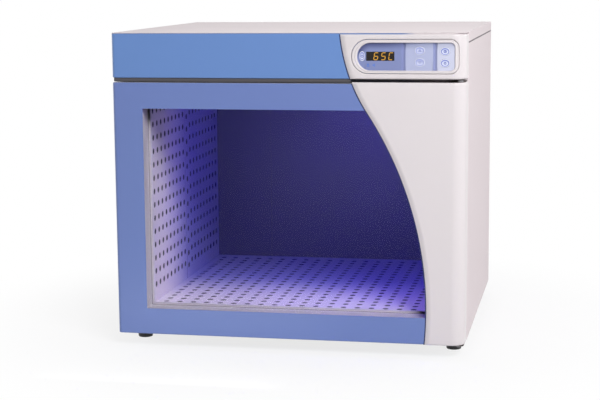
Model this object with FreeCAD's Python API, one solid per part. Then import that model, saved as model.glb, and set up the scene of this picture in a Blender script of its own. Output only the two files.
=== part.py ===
"""Counter-top blanket warming cabinet with a glazed side-hung door.

A double-walled cabinet: folded sheet casing, insulation, and an inner chamber whose
perforated side and floor panels stand off the walls to leave air ducts. A motor on the
component deck drives an impeller in the ceiling plenum, ringed by a tubular heater.

Frame: origin on the standing surface under the middle of the cabinet, +X to the right
as seen from the front, +Y to the rear, +Z up. Every size is in millimetres.
"""

import FreeCAD
import Part
import math
import os

# ---------------------------------------------------------------- driving dimensions
# Overall
WIDTH = 762.0
DEPTH = 711.0
HEIGHT = 689.0
FOOT_HEIGHT = 30.0

# Casing
SHEET = 1.2
COVER_FLANGE = 22.0
PANEL_SEAM = 0.6
FRONT_RETURN_LAP = 5.0
REAR_RETURN = 15.0
SHEET_EDGE_R = 1.0
JOGGLE_LAP = 20.0
REAR_SCREW_HEAD = 2.5
COVER_SCREW_INSET = 95.0
SIDE_SCREW_RISE = 51.0
SIDE_SCREW_DECK_DROP = 9.6
SIDE_SCREWS = 4
FRAME_JOINT = 0.2
BASE_UPSTAND = 20.0

# Head and door
HEAD_HEIGHT = 95.0
HEAD_GAP = 10.0
DOOR_DEPTH = 50.0
DOOR_GAP = 10.0
LEFT_CORNER_R = 8.0
RIGHT_CORNER_R = 28.0
BEND_R = 2.5
DOOR_STILE = 66.7
DOOR_TOP_RAIL = 56.0
DOOR_BOTTOM_RAIL = 57.3
LINER_SHEET = 1.5
LINER_LIP = 5.0
LINER_RIM = 9.0
LINER_GAP = 0.5
REVEAL_MARGIN = 1.0

# White moulded covers and the curve along their left edge
COVER_THICKNESS = 4.5
COVER_EDGE_R = 3.5
COVER_TOP_DROP = 2.4
SWOOSH_LOW_INSET = 80.5
SWOOSH_HIGH_INSET = 264.0
SWOOSH_LOW_RISE = 71.0
SWOOSH_HIGH_RISE = 32.2
SWOOSH_HIGH_R = 367.8
SWOOSH_LAP = 6.0

# Glazing and gasket
GLASS = 4.0
GLASS_EDGE_COVER = 12.0
BOND = 0.5
GASKET_WIDTH = 12.0
GASKET_MARGIN = 20.0
GASKET_BASE = 3.0
BULB_INSET = 2.0

# Chamber
SIDE_WALL = 64.0
DUCT_WIDTH = 22.8
CHAMBER_SHEET = 1.0
SILL_DROP = 1.3
FLOOR_PLENUM = 24.0
CEILING_RISE = 9.2
OPENING_RISE = 4.0
CEILING_PLENUM = 42.8
TOP_INSULATION = 25.0
REAR_WALL = 49.6
SLAB_GAP = 0.3
PASSAGE_CLEARANCE = 2.0
PANEL_JOINT = 0.6
DUCT_SPLIT = 0.47
HOLE_R = 6.25
SIDE_HOLE_PITCH = 60.0
FLOOR_HOLE_PITCH = 62.0
HOLE_MARGIN = 24.0
HOLE_SIDES = 6
DUCT_FEED_WIDTH = 110.0
DUCT_FEED_HEIGHT = 14.0
DUCT_FEED_PITCH = 190.0
DUCT_FEED_MARGIN = 10.0

# Fan and heater, on one vertical axis
FAN_SETBACK = 24.4
SHAFT_R = 5.0
SHAFT_RUNNING_CLEARANCE = 0.05
SHAFT_PASSAGE_R = 14.0
IMPELLER_R = 90.0
IMPELLER_EYE_R = 55.0
IMPELLER_DEPTH = 26.0
IMPELLER_SHEET = 1.2
IMPELLER_BLADES = 9
HUB_R = 12.0
HUB_LENGTH = 18.0
HUB_RISE = 4.0
BLADE_ARC_R = 62.0
BLADE_ARC_BACK = 27.9
BLADE_ARC_ASIDE = 55.8
PLENUM_RUNNING_GAP = 7.0
COLLAR_CLEARANCE = 3.0
COLLAR_SHEET = 1.0
GUARD_R = 72.0
GUARD_LAP = 6.0
GUARD_WIRE = 3.0
GUARD_RINGS = 4
GUARD_SPOKES = 6
HEATER_RING_R = 122.0
HEATER_TUBE_R = 4.0
HEATER_BEND_R = 12.0
HEATER_GAP_DEG = 24.0
HEATER_TERMINAL = 16.0
HEATER_CLIPS = 4
CLIP_WIDTH = 12.0
CLIP_PAD = 10.0
MOTOR_R = 45.0
MOTOR_HEIGHT = 56.0
MOTOR_FLANGE_R = 58.0
MOTOR_FLANGE = 3.0
MOTOR_EDGE_R = 6.0
MOTOR_CAP = 6.0
MOTOR_CAP_R = 15.0
MOTOR_SLOTS = 12
MOTOR_SLOT_WIDTH = 5.0
MOTOR_SLOT_DEPTH = 3.0
MOTOR_SLOT_MARGIN = 12.0
PROBE_R = 3.0
PROBE_REACH = 25.0
PROBE_NUT_R = 8.0
PROBE_NUT = 10.0
SENSOR_SPACING = 40.0
THERMOSTAT_R = 12.0
THERMOSTAT_BASE = 6.0
THERMOSTAT_CAP_R = 8.0
THERMOSTAT_CAP = 9.0
THERMOSTAT_EAR = 20.0
THERMOSTAT_EAR_WIDTH = 10.0

# Interior lamp
LAMP_LENGTH = 500.0
LAMP_WIDTH = 18.0
LAMP_CHANNEL = 7.0
LAMP_WALL = 1.0
LAMP_BACK = 2.0
LAMP_LENS_R = 8.0
LAMP_SETBACK = 14.0

# Control panel, measured from the cabinet's right side and the head's lower edge
BEZEL_PROUD = 1.0
BEZEL_LEFT_INSET = 239.7
BEZEL_RIGHT_INSET = 14.5
BEZEL_LOW = 10.8
BEZEL_HIGH = 83.0
BEZEL_RIGHT_CORNER_R = 19.0
BEZEL_GROOVE = 0.5
PANEL_LEFT_INSET = 224.5
PANEL_RIGHT_INSET = 23.5
PANEL_LOW = 18.0
PANEL_HIGH = 75.0
PANEL_RIGHT_CORNER_R = 9.0
OVERLAY_THICKNESS = 1.8
OVERLAY_REBATE = 3.0
FIT_GAP = 0.1
ZONE_GROOVE_INSETS = (129.8, 64.2)
GROOVE_WIDTH = 5.2
GROOVE_DEPTH = 0.9
DISPLAY_LEFT_INSET = 207.9
DISPLAY_RIGHT_INSET = 148.8
DISPLAY_LOW = 38.0
DISPLAY_HIGH = 56.9
DISPLAY_SUNK = 0.3
DISPLAY_CASE_MARGIN = 2.0
POWER_KEY_INSET = 216.4
POWER_KEY_RISE = 47.6
POWER_KEY_WIDTH = 12.0
POWER_KEY_HEIGHT = 20.4
KEY_WIDTH = 20.7
KEY_HEIGHT = 17.0
ARROW_KEY_INSET = 96.0
ARROW_KEY_RISES = (58.9, 34.9)
FUNCTION_KEY_INSET = 43.7
FUNCTION_KEY_RISES = (57.4, 33.5)
KEY_TRAVEL = 1.0
KEY_GAP = 0.35
KEY_PROUD = 0.8
KEY_FLANGE = 1.2
KEY_FLANGE_THICKNESS = 1.5
PLUNGER_R = 2.5
PLUNGER_FREE_PLAY = 0.2
SWITCH_SIZE = 6.0
SWITCH_BODY = 1.5
SWITCH_STEM = 1.0
SWITCH_STEM_R = 1.7
BOARD_SETBACK = 7.0
BOARD_THICKNESS = 1.6
BOARD_MARGIN = 8.0
BOARD_SIDE_CLEARANCE = 2.0
BOARD_RELAY = (40.0, 10.4, 30.0)
BOARD_PLUG = (30.0, 6.4, 8.0)
STANDOFF_R = 3.0
STANDOFF_INSET = 4.0
STANDOFF_RIGHT_INSET = 8.0
WIRING_SLOT = (101.0, 30.0)
WIRING_RISE = 20.0

# Door hinge
HINGE_SIDE = 14.0
HINGE_FRONT = 24.0
PIN_R = 4.0
PIN_RUNNING_CLEARANCE = 0.05
PIN_HEAD_R = 6.0
PIN_HEAD = 2.0
PIN_END_PLAY = 2.0
BUSH_R = 6.5
BUSH_FLANGE_R = 9.0
BUSH_FLANGE = 1.2
BUSH_LENGTH = 16.0
BRACKET_SHEET = 3.0
BRACKET_FLANGE_HEIGHT = 26.0
BRACKET_HALF_WIDTH = 11.0
BRACKET_TAIL = 12.0
BRACKET_SCREW_PITCH = 17.0
BRACKET_SCREW_RISE = 9.0
BRACKET_SCREW_HEAD = 1.2
SEAT_GAP = 0.3

# Door pull in the free edge, and the magnetic catch behind it
PULL_LENGTH = 180.0
PULL_DEPTH = 19.0
PULL_WALL = 2.0
PULL_LIP = 5.0
PULL_FLOOR_R = 5.0
CATCH_LENGTH = 50.0
CATCH_WIDTH = 24.0
CATCH_INSET = 6.0
CATCH_EDGE_R = 3.0
STRIKE_THICKNESS = 1.5
STRIKE_MARGIN = 2.0

# Feet
FOOT_TOP_R = 20.5
FOOT_SOLE_R = 16.0
FOOT_INSET = 31.0
FOOT_FRONT_SETBACK = 105.0
FOOT_REAR_SETBACK = 60.0
FOOT_SCREW_R = 3.0
FOOT_SCREW_HEAD_R = 5.5
FOOT_SCREW_HEAD = 3.0
FOOT_SCREW_RECESS = 9.0
FOOT_SCREW_REACH = 6.0

# Deck and what stands on it
DECK_UPSTAND = 12.0
SUPPLY_SIZE = (100.0, 180.0, 42.0)
SUPPLY_SIDE = 51.0
SUPPLY_REAR = 50.6
SUPPLY_WALL = 3.0
TERMINAL_STEP = (22.0, 16.0)
TERMINAL_BARRIERS = 8
TERMINAL_PITCH = 12.0
BARRIER = (2.0, 12.0)
SINK_SIZE = (60.0, 80.0, 22.0)
SINK_SIDE = 101.0
SINK_REAR = 150.6
SINK_BASE = 6.0
SINK_FINS = 7
SINK_FIN = 2.4
SINK_FOOT = (10.0, 3.0)
RELAY_SIZE = (48.0, 50.0, 22.0)

# Rear service parts
INLET_SIDE = 81.0
INLET_RISE = 40.0
MODULE_WIDTH = 60.0
MODULE_HEIGHT = 30.0
MODULE_FLANGE = 2.0
MODULE_LAP = 4.0
MODULE_DEPTH = 26.0
SOCKET_ASIDE = 11.0
SOCKET_WIDTH = 22.0
SOCKET_HEIGHT = 15.0
SOCKET_DEPTH = 15.0
BLADE_PITCH = 7.0
BLADE_RISE = 3.0
BLADE_WIDTH = 2.0
BLADE_HEIGHT = 4.0
BLADE_SUNK = 3.0
ROCKER_ASIDE = 17.0
ROCKER_WIDTH = 10.0
ROCKER_HEIGHT = 19.0
ROCKER_WELL_DEPTH = 12.0
ROCKER_END_GAP = 0.6
ROCKER_CREST = 3.2
ROCKER_VALLEY = 1.7
ROCKER_UNDERSIDE = 2.5
ROCKER_AXLE_R = 1.2
ROCKER_AXLE_SUNK = 3.4
ROCKER_TILT = 10.0
CASING_SCREW_R = 2.0
CASING_SCREW_HEAD_R = 4.0
VENT_WIDTH = 60.0
VENT_HEIGHT = 4.0
VENT_RISE = 10.0
VENT_PITCH = 11.0
VENT_ROWS = 5
VENT_COLUMN_PITCH = 84.0

# ---------------------------------------------------------------- derived places
HALF = WIDTH / 2
FRONT_Y = -DEPTH / 2
REAR_Y = DEPTH / 2
COVER_Y = FRONT_Y + BEZEL_PROUD
SKIN_Y = COVER_Y + COVER_THICKNESS
DOOR_BACK_Y = SKIN_Y + DOOR_DEPTH
FACE_Y = DOOR_BACK_Y + DOOR_GAP
CASING_REAR_Y = REAR_Y - REAR_SCREW_HEAD
REAR_PANEL_Y = CASING_REAR_Y - SHEET
REAR_INNER_Y = REAR_PANEL_Y - SHEET

BASE_Z = FOOT_HEIGHT
HEAD_TOP = HEIGHT - SHEET
HEAD_BOTTOM = HEAD_TOP - HEAD_HEIGHT
DOOR_TOP = HEAD_BOTTOM - HEAD_GAP
DOOR_BOTTOM = BASE_Z
SIDE_TOP = HEIGHT - COVER_FLANGE - PANEL_SEAM
SKIN_HALF_RIGHT = HALF - COVER_THICKNESS
SKIN_CORNER_R = RIGHT_CORNER_R - COVER_THICKNESS

WINDOW_LEFT = -HALF + DOOR_STILE
WINDOW_TOP = DOOR_TOP - DOOR_TOP_RAIL
WINDOW_BOTTOM = DOOR_BOTTOM + DOOR_BOTTOM_RAIL

CLEAR_HALF = HALF - SIDE_WALL
FLOOR_Z = WINDOW_BOTTOM - SILL_DROP
CEILING_Z = WINDOW_TOP + CEILING_RISE
OPENING_TOP = WINDOW_TOP + OPENING_RISE
CHAMBER_HALF = CLEAR_HALF + SHEET + DUCT_WIDTH
CHAMBER_BOTTOM = FLOOR_Z - FLOOR_PLENUM
CHAMBER_TOP = CEILING_Z + SHEET + CEILING_PLENUM
CHAMBER_FRONT_Y = FACE_Y + SHEET
CHAMBER_BACK_Y = REAR_INNER_Y - REAR_WALL - CHAMBER_SHEET
DECK_Z = CHAMBER_TOP + CHAMBER_SHEET + TOP_INSULATION

REVEAL_HALF = CLEAR_HALF - REVEAL_MARGIN
REVEAL_TOP = WINDOW_TOP + REVEAL_MARGIN
REVEAL_BOTTOM = WINDOW_BOTTOM - REVEAL_MARGIN
OUTER_GLASS_Y = SKIN_Y + SHEET + BOND
INNER_GLASS_Y = DOOR_BACK_Y - LINER_SHEET - GLASS
FRONT_RETURN_X = CHAMBER_HALF + CHAMBER_SHEET - FRONT_RETURN_LAP
FACE_FRAME_HALF = FRONT_RETURN_X - FRAME_JOINT

BEZEL_LEFT = HALF - BEZEL_LEFT_INSET
BEZEL_RIGHT = HALF - BEZEL_RIGHT_INSET
PANEL_LEFT = HALF - PANEL_LEFT_INSET
PANEL_RIGHT = HALF - PANEL_RIGHT_INSET
DISPLAY_LEFT = HALF - DISPLAY_LEFT_INSET
DISPLAY_RIGHT = HALF - DISPLAY_RIGHT_INSET

FAN_Y = (CHAMBER_FRONT_Y + CHAMBER_BACK_Y) / 2 + FAN_SETBACK
INLET_X = -HALF + INLET_SIDE
INLET_Z = DECK_Z + INLET_RISE
PIVOT_X = HALF - HINGE_SIDE
PIVOT_Y = SKIN_Y + HINGE_FRONT
HANDLE_Z = (DOOR_TOP + DOOR_BOTTOM) / 2
FAR = 2 * (WIDTH + DEPTH + HEIGHT)


# ---------------------------------------------------------------- shape helpers
def vec(x, y, z):
    return FreeCAD.Vector(x, y, z)


def box(x0, x1, y0, y1, z0, z1):
    """Block between two corners."""
    return Part.makeBox(x1 - x0, y1 - y0, z1 - z0, vec(x0, y0, z0))


def rod_z(x, y, z0, z1, radius):
    """Upright cylinder."""
    return Part.makeCylinder(radius, z1 - z0, vec(x, y, z0))


def rod_y(x, z, y0, y1, radius):
    """Cylinder along the depth."""
    return Part.makeCylinder(radius, y1 - y0, vec(x, y0, z), vec(0, 1, 0))


def line(start, end):
    return Part.LineSegment(start, end).toShape()


def arc(start, middle, end):
    return Part.Arc(start, middle, end).toShape()


def ring_frame(x0, x1, y0, y1, z0, z1, band_x, band_z):
    """Upright picture frame: a block with a rectangular window through its thickness."""
    frame = box(x0, x1, y0, y1, z0, z1)
    window = box(x0 + band_x, x1 - band_x, y0 - 1, y1 + 1, z0 + band_z, z1 - band_z)
    return frame.cut(window)


def plan_block(x0, x1, y0, y1, r_left, r_right, z0, z1):
    """Upright block whose two front corners are rounded in plan."""
    s = math.sqrt(0.5)
    left_mid = vec(x0 + r_left * (1 - s), y0 + r_left * (1 - s), z0)
    right_mid = vec(x1 - r_right * (1 - s), y0 + r_right * (1 - s), z0)
    left_start = vec(x0, y0 + r_left, z0)
    left_end = vec(x0 + r_left, y0, z0)
    right_start = vec(x1 - r_right, y0, z0)
    right_end = vec(x1, y0 + r_right, z0)
    edges = [
        line(vec(x0, y1, z0), left_start),
        arc(left_start, left_mid, left_end),
        line(left_end, right_start),
        arc(right_start, right_mid, right_end),
        line(right_end, vec(x1, y1, z0)),
        line(vec(x1, y1, z0), vec(x0, y1, z0)),
    ]
    return Part.Face(Part.Wire(edges)).extrude(vec(0, 0, z1 - z0))


def soften_rims(block, y_back, z0, z1, radius):
    """Round the top and bottom edges of a plan block, all but the ones at its back."""
    chosen = []
    for edge in block.Edges:
        ys = [v.Y for v in edge.Vertexes]
        zs = [v.Z for v in edge.Vertexes]
        level = max(zs) - min(zs) < 1e-6
        on_rim = abs(zs[0] - z0) < 1e-6 or abs(zs[0] - z1) < 1e-6
        at_back = min(ys) > y_back - 1e-6
        if level and on_rim and not at_back:
            chosen.append(edge)
    return block.makeFillet(radius, chosen)


def front_shell(z0, z1, y_back):
    """Bent sheet box, open to the rear, with the front outline of the head and door."""
    outer = plan_block(-HALF, SKIN_HALF_RIGHT, SKIN_Y, y_back, LEFT_CORNER_R, SKIN_CORNER_R, z0, z1)
    outer = soften_rims(outer, y_back, z0, z1, BEND_R)
    inner = plan_block(
        -HALF + SHEET,
        SKIN_HALF_RIGHT - SHEET,
        SKIN_Y + SHEET,
        y_back + SHEET,
        LEFT_CORNER_R - SHEET,
        SKIN_CORNER_R - SHEET,
        z0 + SHEET,
        z1 - SHEET,
    )
    inner = soften_rims(inner, y_back + SHEET, z0 + SHEET, z1 - SHEET, BEND_R - SHEET)
    return outer.cut(inner)


def swoosh_centres():
    """Arc centres and lower radius of the S-curve, whose two arcs meet in a tangent."""
    low_x = HALF - SWOOSH_LOW_INSET
    high_x = HALF - SWOOSH_HIGH_INSET
    low_z = DOOR_BOTTOM + SWOOSH_LOW_RISE
    high_z = HEAD_TOP + SWOOSH_HIGH_RISE
    rise = high_z - low_z
    reach = high_x + SWOOSH_HIGH_R - low_x
    low_r = (reach**2 + rise**2 - SWOOSH_HIGH_R**2) / (2 * (SWOOSH_HIGH_R - reach))
    return low_x - low_r, low_z, low_r, high_x + SWOOSH_HIGH_R, high_z


def swoosh_x(z, shift):
    """Curve's X at a height, moved to the right by a parallel shift."""
    low_cx, low_cz, low_r, high_cx, high_cz = swoosh_centres()
    share = (low_r + shift) / (low_r + SWOOSH_HIGH_R)
    if z > low_cz + (high_cz - low_cz) * share:
        return high_cx - math.sqrt((SWOOSH_HIGH_R - shift) ** 2 - (z - high_cz) ** 2)
    return low_cx + math.sqrt((low_r + shift) ** 2 - (z - low_cz) ** 2)


def swoosh_edges(z0, z1, y, shift):
    """The curve's arcs between two heights, in the upright plane at y."""
    low_cx, low_cz, low_r, high_cx, high_cz = swoosh_centres()
    share = (low_r + shift) / (low_r + SWOOSH_HIGH_R)
    join = low_cz + (high_cz - low_cz) * share
    levels = [z0, join, z1] if z0 < join < z1 else [z0, z1]
    edges = []
    for lower, upper in zip(levels, levels[1:]):
        middle = (lower + upper) / 2
        ends = [vec(swoosh_x(z, shift), y, z) for z in (lower, middle, upper)]
        edges.append(arc(*ends))
    return edges


def swoosh_block(x_side, z0, z1, y0, y1, shift):
    """Block between the curve and an upright line, through a depth."""
    edges = swoosh_edges(z0, z1, y0, shift)
    low = vec(swoosh_x(z0, shift), y0, z0)
    high = vec(swoosh_x(z1, shift), y0, z1)
    edges.append(line(high, vec(x_side, y0, z1)))
    edges.append(line(vec(x_side, y0, z1), vec(x_side, y0, z0)))
    edges.append(line(vec(x_side, y0, z0), low))
    return Part.Face(Part.Wire(edges)).extrude(vec(0, y1 - y0, 0))


def swoosh_cover(z0, z1):
    """Moulded cover to the right of the curve, wrapped round the right-hand corner."""
    x_start = swoosh_x(z1, 0) - RIGHT_CORNER_R
    outer = plan_block(x_start, HALF, COVER_Y, DOOR_BACK_Y, 1.0, RIGHT_CORNER_R, z0, z1)
    inner = plan_block(
        x_start - 1, SKIN_HALF_RIGHT, SKIN_Y, DOOR_BACK_Y + 1, 1.0, SKIN_CORNER_R, z0 - 1, z1 + 1
    )
    shell = outer.cut(inner).common(swoosh_block(FAR, z0, z1, COVER_Y - 1, DOOR_BACK_Y, 0))
    chosen = []
    for edge in shell.Edges:
        middle = edge.valueAt((edge.FirstParameter + edge.LastParameter) / 2)
        level = abs(edge.Vertexes[0].Z - edge.Vertexes[-1].Z) < 1e-6
        on_rim = level and (abs(middle.z - z0) < 1e-6 or abs(middle.z - z1) < 1e-6)
        on_face = abs(middle.y - COVER_Y) < 1e-6
        on_side = abs(middle.x - HALF) < 1e-6
        corner = vec(HALF - RIGHT_CORNER_R, COVER_Y + RIGHT_CORNER_R, middle.z)
        on_corner = abs(middle.distanceToPoint(corner) - RIGHT_CORNER_R) < 1e-6
        upright_in_face = on_face and middle.x > HALF - RIGHT_CORNER_R - 1e-6
        if on_rim and (on_face or on_side or on_corner):
            chosen.append(edge)
        elif on_face and not level and not upright_in_face:
            chosen.append(edge)
    return shell.makeFillet(COVER_EDGE_R, chosen)


def panel_outline(left, right, low, high, corner_r, y0, y1):
    """Block with one round end at the left and two rounded corners at the right."""
    z0 = HEAD_BOTTOM + low
    z1 = HEAD_BOTTOM + high
    round_r = (z1 - z0) / 2
    s = math.sqrt(0.5)
    cx = left + round_r
    low_mid = vec(right - corner_r * (1 - s), y0, z0 + corner_r * (1 - s))
    high_mid = vec(right - corner_r * (1 - s), y0, z1 - corner_r * (1 - s))
    edges = [
        arc(vec(cx, y0, z1), vec(left, y0, (z0 + z1) / 2), vec(cx, y0, z0)),
        line(vec(cx, y0, z0), vec(right - corner_r, y0, z0)),
        arc(vec(right - corner_r, y0, z0), low_mid, vec(right, y0, z0 + corner_r)),
        line(vec(right, y0, z0 + corner_r), vec(right, y0, z1 - corner_r)),
        arc(vec(right, y0, z1 - corner_r), high_mid, vec(right - corner_r, y0, z1)),
        line(vec(right - corner_r, y0, z1), vec(cx, y0, z1)),
    ]
    return Part.Face(Part.Wire(edges)).extrude(vec(0, y1 - y0, 0))


def grown_panel(grow, y0, y1):
    """The sunk panel's outline, grown or shrunk all round."""
    return panel_outline(
        PANEL_LEFT - grow,
        PANEL_RIGHT + grow,
        PANEL_LOW - grow,
        PANEL_HIGH + grow,
        PANEL_RIGHT_CORNER_R + grow,
        y0,
        y1,
    )


def grown_bezel(grow, y0, y1):
    """The bezel's outer outline, grown or shrunk all round."""
    return panel_outline(
        BEZEL_LEFT - grow,
        BEZEL_RIGHT + grow,
        BEZEL_LOW - grow,
        BEZEL_HIGH + grow,
        BEZEL_RIGHT_CORNER_R + grow,
        y0,
        y1,
    )


def oval_block(x, z, width, height, y0, y1):
    """Flattened disc of an elliptical outline, its axis along the depth."""
    if width >= height:
        curve = Part.Ellipse(vec(0, 0, 0), width / 2, height / 2)
    else:
        curve = Part.Ellipse(vec(0, 0, 0), height / 2, width / 2)
    outline = Part.Wire(curve.toShape())
    block = Part.Face(outline).extrude(vec(0, 0, y1 - y0))
    if width < height:
        block.rotate(vec(0, 0, 0), vec(0, 0, 1), 90)
    block.rotate(vec(0, 0, 0), vec(1, 0, 0), -90)
    block.translate(vec(x, y0, z))
    return block


def spread(start, end, pitch):
    """Evenly pitched places, centred between two limits."""
    count = int((end - start) / pitch) + 1
    first = (start + end - (count - 1) * pitch) / 2
    return [first + i * pitch for i in range(count)]


def hole_prism(centre, direction, length):
    """Prism that punches one air hole."""
    angles = [2 * math.pi * (i + 0.5) / HOLE_SIDES for i in range(HOLE_SIDES)]
    if direction.x > 0.5:
        corners = [centre + vec(0, HOLE_R * math.cos(a), HOLE_R * math.sin(a)) for a in angles]
    else:
        corners = [centre + vec(HOLE_R * math.cos(a), HOLE_R * math.sin(a), 0) for a in angles]
    outline = Part.makePolygon(corners + corners[:1])
    return Part.Face(outline).extrude(direction * length)


def save(name, shape):
    """Write one node as its own STEP file."""
    shape.exportStep("parts/" + name + ".step")


def save_group(name, shapes):
    """Write separate like pieces as one node."""
    save(name, Part.makeCompound(shapes))


# ---------------------------------------------------------------- casing
def make_base_pan():
    """Tray that carries the feet, the insulation and the chamber."""
    half = HALF - SHEET
    y0 = CHAMBER_FRONT_Y
    y1 = REAR_INNER_Y
    pan = box(-half, half, y0, y1, BASE_Z, BASE_Z + SHEET + BASE_UPSTAND)
    pan = pan.cut(
        box(-half + SHEET, half - SHEET, y0 + SHEET, y1 - SHEET, BASE_Z + SHEET, FAR)
    )
    for x, y in foot_places():
        pan = pan.cut(rod_z(x, y, BASE_Z - 1, BASE_Z + SHEET + 1, FOOT_SCREW_R + FIT_GAP))
    save("base_pan", pan)


def make_side_panels():
    """Side panels, each folded in at the front and rear, joggled in under the top cover."""
    right = box(HALF - SHEET, HALF, FACE_Y, CASING_REAR_Y, BASE_Z, SIDE_TOP)
    front = box(FRONT_RETURN_X, HALF - SHEET, FACE_Y, FACE_Y + SHEET, BASE_Z, HEAD_TOP)
    rear = box(HALF - REAR_RETURN, HALF - SHEET, REAR_PANEL_Y, CASING_REAR_Y, BASE_Z, SIDE_TOP)
    joggle = box(
        HALF - 2 * SHEET,
        HALF - SHEET,
        CHAMBER_FRONT_Y,
        REAR_PANEL_Y,
        SIDE_TOP - JOGGLE_LAP,
        HEAD_TOP,
    )
    right = right.fuse([front, rear, joggle]).removeSplitter()
    corners = []
    for edge in right.Edges:
        top, bottom = edge.Vertexes[0], edge.Vertexes[-1]
        upright = abs(top.X - bottom.X) < 1e-6 and abs(top.Y - bottom.Y) < 1e-6
        outer = abs(top.X - HALF) < 1e-6
        if upright and outer:
            corners.append(edge)
    right = right.makeFillet(SHEET_EDGE_R, corners)
    for z in side_screw_heights():
        x = HALF - REAR_RETURN / 2
        right = right.cut(rod_y(x, z, REAR_PANEL_Y - 1, CASING_REAR_Y + 1, CASING_SCREW_R))
    save("side_panel_right", right)
    save("side_panel_left", right.mirror(vec(0, 0, 0), vec(1, 0, 0)))


def make_rear_panel():
    """Rear panel with louvre slots beside the deck and an opening for the power module."""
    half = HALF - 2 * SHEET
    y0 = REAR_INNER_Y - 1
    y1 = REAR_PANEL_Y + 1
    panel = box(-half, half, REAR_INNER_Y, REAR_PANEL_Y, BASE_Z, HEAD_TOP)
    places = [(x, cover_screw_height()) for x in cover_screw_places()]
    for side in (-1, 1):
        places += [(side * (HALF - REAR_RETURN / 2), z) for z in side_screw_heights()]
    for x, z in places:
        panel = panel.cut(rod_y(x, z, y0, y1, CASING_SCREW_R))
    slots = []
    for column in (-1, 0, 1):
        for row in range(VENT_ROWS):
            x0 = column * VENT_COLUMN_PITCH - VENT_WIDTH / 2
            z0 = DECK_Z + VENT_RISE + row * VENT_PITCH
            slots.append(box(x0, x0 + VENT_WIDTH, y0, y1, z0, z0 + VENT_HEIGHT))
    panel = panel.cut(Part.makeCompound(slots))
    half_w = MODULE_WIDTH / 2 - MODULE_LAP + FIT_GAP
    half_h = MODULE_HEIGHT / 2 - MODULE_LAP + FIT_GAP
    opening = box(INLET_X - half_w, INLET_X + half_w, y0, y1, INLET_Z - half_h, INLET_Z + half_h)
    save("rear_panel", panel.cut(opening))


def make_top_cover():
    """Top cover: its plate reaches over the head, its flanges go down round the casing."""
    plate = plan_block(
        -HALF, HALF, SKIN_Y, CASING_REAR_Y, LEFT_CORNER_R, SKIN_CORNER_R, HEAD_TOP, HEIGHT
    )
    low = HEIGHT - COVER_FLANGE
    left = box(-HALF, -HALF + SHEET, FACE_Y, CASING_REAR_Y, low, HEAD_TOP)
    right = box(HALF - SHEET, HALF, FACE_Y, CASING_REAR_Y, low, HEAD_TOP)
    rear = box(-HALF + SHEET, HALF - SHEET, REAR_PANEL_Y, CASING_REAR_Y, low, HEAD_TOP)
    cover = plate.fuse([left, right, rear]).removeSplitter()
    rims = []
    for edge in cover.Edges:
        if min(v.Z for v in edge.Vertexes) > HEIGHT - 1e-6:
            rims.append(edge)
    cover = cover.makeFillet(SHEET_EDGE_R, rims)
    for x in cover_screw_places():
        z = cover_screw_height()
        cover = cover.cut(rod_y(x, z, REAR_PANEL_Y - 1, CASING_REAR_Y + 1, CASING_SCREW_R))
    save("top_cover", cover)


def make_face_frame():
    """Front plate of the casing, with the chamber's mouth and a slot for the wiring."""
    y0 = FACE_Y - 1
    y1 = CHAMBER_FRONT_Y + 1
    frame = box(-FACE_FRAME_HALF, FACE_FRAME_HALF, FACE_Y, CHAMBER_FRONT_Y, BASE_Z, HEAD_TOP)
    mouth = box(-CLEAR_HALF, CLEAR_HALF, y0, y1, FLOOR_Z, OPENING_TOP)
    slot_width, slot_height = WIRING_SLOT
    x0 = (PANEL_LEFT + PANEL_RIGHT - slot_width) / 2
    z0 = DECK_Z + WIRING_RISE
    wiring = box(x0, x0 + slot_width, y0, y1, z0, z0 + slot_height)
    save("face_frame", frame.cut(mouth).cut(wiring))


def side_screw_heights():
    """Evenly pitched up each rear corner, the last one clear below the deck."""
    low = BASE_Z + SIDE_SCREW_RISE
    pitch = (DECK_Z - SIDE_SCREW_DECK_DROP - low) / (SIDE_SCREWS - 1)
    return [low + i * pitch for i in range(SIDE_SCREWS)]


def cover_screw_places():
    outer = HALF - COVER_SCREW_INSET
    return [-outer, 0.0, outer]


def cover_screw_height():
    return HEIGHT - COVER_FLANGE / 2


def make_screws():
    """Pan-head screws that close the casing from the rear, and those of the hinge brackets."""
    places = [(x, cover_screw_height()) for x in cover_screw_places()]
    for side in (-1, 1):
        places += [(side * (HALF - REAR_RETURN / 2), z) for z in side_screw_heights()]
    screws = []
    for side in (1, -1):
        for x, z in bracket_screw_places(side):
            head_y = FACE_Y - BRACKET_SHEET
            head = rod_y(x, z, head_y - BRACKET_SCREW_HEAD, head_y, CASING_SCREW_HEAD_R)
            screws.append(head.fuse(rod_y(x, z, head_y, FACE_Y, CASING_SCREW_R)))
    for x, z in places:
        shank = rod_y(x, z, REAR_INNER_Y - SHEET, CASING_REAR_Y, CASING_SCREW_R)
        head = rod_y(x, z, CASING_REAR_Y, REAR_Y, CASING_SCREW_HEAD_R)
        screws.append(shank.fuse(head))
    save_group("machine_screws", screws)


# ---------------------------------------------------------------- feet
def foot_places():
    front = FRONT_Y + FOOT_FRONT_SETBACK
    rear = REAR_Y - FOOT_REAR_SETBACK
    side = HALF - FOOT_INSET
    return [(-side, front), (side, front), (-side, rear), (side, rear)]


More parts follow.
